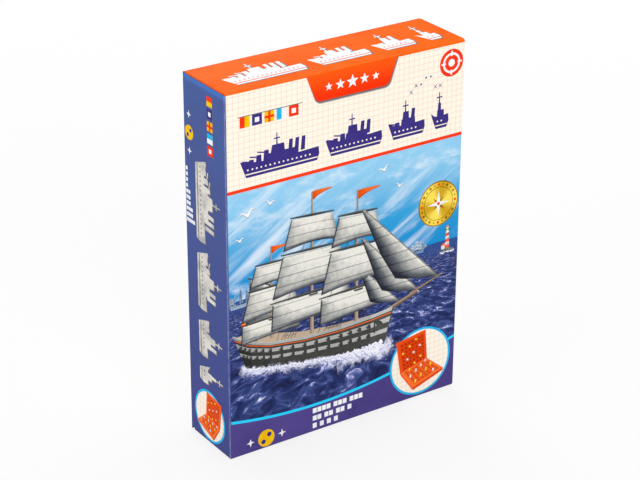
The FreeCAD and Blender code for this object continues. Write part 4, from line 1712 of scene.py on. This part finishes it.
def legend(bm, rows, corner, square):
    """Rows of ships drawn in squares, a gap of about half a square between ships."""
    for i, row in enumerate(rows):
        u, v = corner[0], corner[1] - i * square * 1.55
        for ship_size in row:
            for _ in range(ship_size):
                bar(bm, (u, v), (u + square * 0.86, v + square), WHITE)
                u += square
            u += square * 0.55


foot = bmesh.new()
players_sign(foot, (-62, 7.5), 6.2)
for u in (-74, -50):
    star(foot, (u, 7.5), 4, 3.0, 1.0, WHITE)
legend(foot, fleet_squares, (-26, 14.0), 3.6)
print_on("front_foot", foot, "front", badge_inks)

# %% [markdown]
# ## The play case inset
# In the corner a round window shows the game set up: an orange case, opened like a book, with white and
# yellow pegs. The case is a model too, flattened into the window by the same helper as the ship.

# %% The play case inset
CASE, FIELD, HOLE, WHITE_PEG, YELLOW_PEG = range(5)
case_side, case_rim, case_thick = 60.0, 5.0, 5
peg_places, peg_cycle = 7, 11
lid_lean = radians(78)
window_rim = 1.6
inset_light = (-0.4, 0.75, 0.5)


def model_case():
    """An open play case: a tray and a raised lid, each with a field of holes and some pegs."""
    bm = bmesh.new()
    field = case_side - 2 * case_rim
    pitch = field / peg_places
    for raised in (False, True):
        before = set(bm.verts)
        block(bm, (0, 0, -case_thick), (case_side, case_side, case_thick), CASE)
        block(bm, (0, 0, -0.5), (field, field, 0.8), FIELD)
        for i in range(peg_places):
            for j in range(peg_places):
                x, y = ((k + 0.5) * pitch + case_rim - case_side / 2 for k in (i, j))
                pick = (3 * i + 5 * j + 2 * raised) % peg_cycle
                if pick in (0, 4):
                    peg = WHITE_PEG if pick else YELLOW_PEG
                    post(bm, (x, y, 0.3), (x, y, 4.5), 1.9, peg, sides=8, tip=0.8)
                else:
                    post(bm, (x, y, 0.3), (x, y, 0.7), 1.3, HOLE, sides=8)
        place = Matrix.Translation((0, case_side / 2, 0))
        if raised:
            place = Matrix.Translation((0, case_side - 1, -3)) @ Matrix.Rotation(lid_lean, 4, "X") @ place
        move(bm, (v for v in bm.verts if v not in before), place)
    return bm


case_paints = [
    painted("case_orange", ((0.1, 150, 34, 4), (0.5, 236, 72, 16), (0.95, 255, 118, 52))),
    painted("case_field", ((0.1, 140, 30, 4), (0.6, 226, 66, 14), (0.95, 244, 96, 34))),
    painted("case_hole", ((0.0, 70, 12, 2), (1.0, 126, 28, 6))),
    painted("case_peg_white", greys(150, 210, 250)),
    painted("case_peg_yellow", ((0.0, 170, 110, 0), (0.7, 255, 206, 30), (1.0, 255, 236, 130)))]


def squares_on(name, across):
    return printed_board(name, lambda tree, spot: squares(tree, spot[across], spot["Z"]))


def add_inset(name, side, middle, radius, eye, focal, paper):
    """A round window of squared paper with a bright rim, and the open case in it."""
    window = bmesh.new()
    disc(window, middle, radius, 0, 0, 72)
    disc(window, middle, radius - window_rim, 1, 1, 72)
    print_on(name + "_window", window, side, [inks["cyan"], paper])
    case = model_case()
    put_on_paper(case, picture_view(eye, (0, 34, 18), focal, middle, 120, 330, 0.10, 0.3), inset_light)
    print_on(name + "_case", case, side, case_paints)


front_eye, side_eye = (-95, -150, 130), (90, -150, 120)
front_paper = squares_on("front_window_paper", "X")
add_inset("front_inset", "front", (60.5, 27.0), 25.0, front_eye, 105, front_paper)

# %% [markdown]
# ## The sides
# Each narrow side repeats the front's matter on blue: a column with the number of players, the fleet in
# squares, signal flags above the fleet line, and the window with the play case at the foot.

# %% The sides
column = -17.5
side_paper = squares_on("side_window_paper", "Y")
for side in ("left", "right"):
    marks = bmesh.new()
    players_sign(marks, (column, 212), 4.8)
    for v in (224, 200):
        star(marks, (column, v), 4, 2.6, 0.9, WHITE)
    legend(marks, ((1,), (1,), (1,), (1,), (2,), (2,), (2,), (3,), (3,), (4,)), (-22.6, 186), 2.5)
    hang_flags(marks, 6.4, at(4.0, 243.0, -pi / 2))
    print_on(side + "_marks", marks, side, badge_inks)
    add_inset(side + "_inset", side, (0.0, 20.5), 18.5, side_eye, 78, side_paper)

# %% [markdown]
# ## The back
# The back explains the game with two fields of ten by ten squares, one for a player's own fleet and one
# for the shots at the other's. Ships are rows of filled squares, hits are crosses and misses are dots.
# The head repeats the fleet line, round signs count the steps of a turn, and a plain white label with
# bars sits in the foot.

# %% The back
field_squares, field_line, field_pitch, field_foot = 10, 0.15, 6.6, 116
own_ships = ((1, 1, 4, False), (8, 2, 3, True), (3, 8, 3, False), (1, 4, 2, True), (4, 4, 2, False),
             (7, 7, 2, True), (5, 6, 1, False), (0, 9, 1, False), (9, 9, 1, False), (3, 6, 1, False))
taken_shots = ((2, 1, 1), (3, 1, 1), (6, 3, 0), (8, 4, 1), (0, 6, 0), (5, 9, 0), (9, 6, 0), (4, 2, 0))
fired_at = ((1, 1), (2, 4), (5, 2), (6, 6), (7, 1), (3, 8), (8, 8), (4, 4))
fired_shots = [(column, row, (column * row) % 3 == 1) for column, row in fired_at]


def playing_field(bm, u, ships, shots):
    """A field with ships as (column, row, length, upright) and shots as (column, row, hit)."""
    v, pitch = field_foot, field_pitch
    far = field_squares * pitch + field_line
    for i in range(field_squares + 1):
        line = i * pitch
        bar(bm, (u + line - field_line, v - field_line), (u + line + field_line, v + far), NAVY)
        bar(bm, (u - field_line, v + line - field_line), (u + far, v + line + field_line), NAVY, 0.3)
    for column, row, length, upright in ships:
        across, along = (1, length) if upright else (length, 1)
        low = (u + column * pitch + 0.6, v + row * pitch + 0.6)
        bar(bm, low, (low[0] + across * pitch - 1.2, low[1] + along * pitch - 1.2), NAVY, 1)
    for column, row, hit in shots:
        spot = (u + (column + 0.5) * pitch, v + (row + 0.5) * pitch)
        if hit:
            star(bm, spot, 4, 2.8, 0.7, RED, 2, pi / 4)
        else:
            disc(bm, spot, 0.9, RED, 2, 14)


rear = bmesh.new()
playing_field(rear, -74, own_ships, taken_shots)
playing_field(rear, 8, (), fired_shots)
for step, u in enumerate((14, 40, 66)):
    disc(rear, (u, 70), 9.0, CYAN)
    disc(rear, (u, 70), 7.6, WHITE, 1)
    for dot in range(step + 1):
        disc(rear, (u + 4.2 * (dot - step / 2), 70), 1.6, RED, 2, 24)
    bar(rear, (u - 9, 50), (u + 9, 56), NAVY)
    for dot in range(3):
        disc(rear, (u - 5.4 + 5.4 * dot, 53), 1.7, WHITE if (dot + step) % 3 else YELLOW, 1, 20)
fleet_row(rear, 12.0, 7.0, 20.0, at(-70.5, 221.5), WHITE, RED, layer=1)
legend(rear, fleet_squares, (-78, 17.5), 4.2)
bar(rear, (34, 5), (76, 22), WHITE)
place = 37.0
for i, wide in enumerate((1, 2, 1, 3, 1, 1, 2, 1, 2, 3, 1, 2, 1, 1, 3, 1, 2, 1)):
    if i % 2 == 0:
        bar(rear, (place, 7.5), (place + 0.7 * wide + 0.5, 20), NAVY, 1)
    place += 0.7 * wide + 0.9
print_on("back_guide", rear, "back", badge_inks)
back_paper = squares_on("back_window_paper", "X")
add_inset("back_inset", "back", (-42.0, 68.0), 30.0, front_eye, 126, back_paper)

# %% [markdown]
# ## The bottom
# The bottom has only the printer's ink dots, which are there to check the colours of a run, and a blank
# label. It moves with the bottom closure.

# %% The bottom
under = bmesh.new()
for i, ink in enumerate((CYAN, RED, YELLOW, NAVY)):
    disc(under, (-70 + 7 * i, -14), 2.4, ink, 0, 28)
bar(under, (36, -16), (76, 6), WHITE)
print_on("bottom_marks", under, "bottom", badge_inks, "bottom_closure", "orange_board")

# %% [markdown]
# ## What is in the carton
# Two play cases of orange plastic, their pegs, their ships and a leaflet stand in the carton and show
# when the top is open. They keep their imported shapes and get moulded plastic: a fine spark-eroded grain,
# slow clouds in the colour where the melt cooled unevenly, and paler scuffs. The hinge pins are steel.

# %% What is in the carton
tree, group_in, group_out = start_group(
    "moulded surface", {"Color": "Color", "Pale": "Color"},
    {"Color": "Color", "Roughness": "Float", "Height": "Float"})
where = node(tree, "TexCoord").outputs["Object"]
clouds = calc(tree, "MULTIPLY", noise(tree, where, 45.0, 3.0), 0.22)
scuffs = band(tree, noise(tree, where, 320.0, 7.0, 0.72), 0.60, 0.74)
cloudy = mix(tree, clouds, group_in["Color"], group_in["Pale"])
feed(tree, group_out["Color"], mix(tree, calc(tree, "MULTIPLY", scuffs, 0.25), cloudy, group_in["Pale"]))
feed(tree, group_out["Roughness"], calc(tree, "MULTIPLY_ADD", scuffs, 0.22, 0.32))
feed(tree, group_out["Height"], noise(tree, where, 2400.0, 2.0))


def moulded(name, colour, pale, metallic):
    made, tree, shader = start_material(name)
    skin = place_group(tree, "moulded surface", Color=srgb(*colour), Pale=srgb(*pale))
    feed(tree, shader.inputs["Base Color"], skin["Color"])
    feed(tree, shader.inputs["Roughness"], skin["Roughness"])
    shader.inputs["Metallic"].default_value = metallic
    add_bump(tree, shader, skin["Height"], 0.03 * MM)
    return made


content_tones = {
    "orange_plastic": ((236, 78, 20), (255, 140, 80), 0.0),
    "grey_plastic": ((112, 118, 124), (160, 166, 172), 0.0),
    "white_plastic": ((238, 238, 234), (250, 250, 250), 0.0),
    "yellow_plastic": ((246, 196, 30), (255, 226, 110), 0.0),
    "steel_pin": ((170, 170, 174), (210, 210, 214), 1.0),
    "leaflet_paper": ((236, 233, 226), (250, 248, 242), 0.0)}
content_looks = {slot: moulded(slot + "_look", *tones) for slot, tones in content_tones.items()}
for entry in frame["record"]["subparts"]:
    look = content_looks.get(entry["material_slot"])
    if look:
        for slot in frame["nodes"][entry["node"]].material_slots:
            slot.material = look
print("contents:", sorted(content_looks))
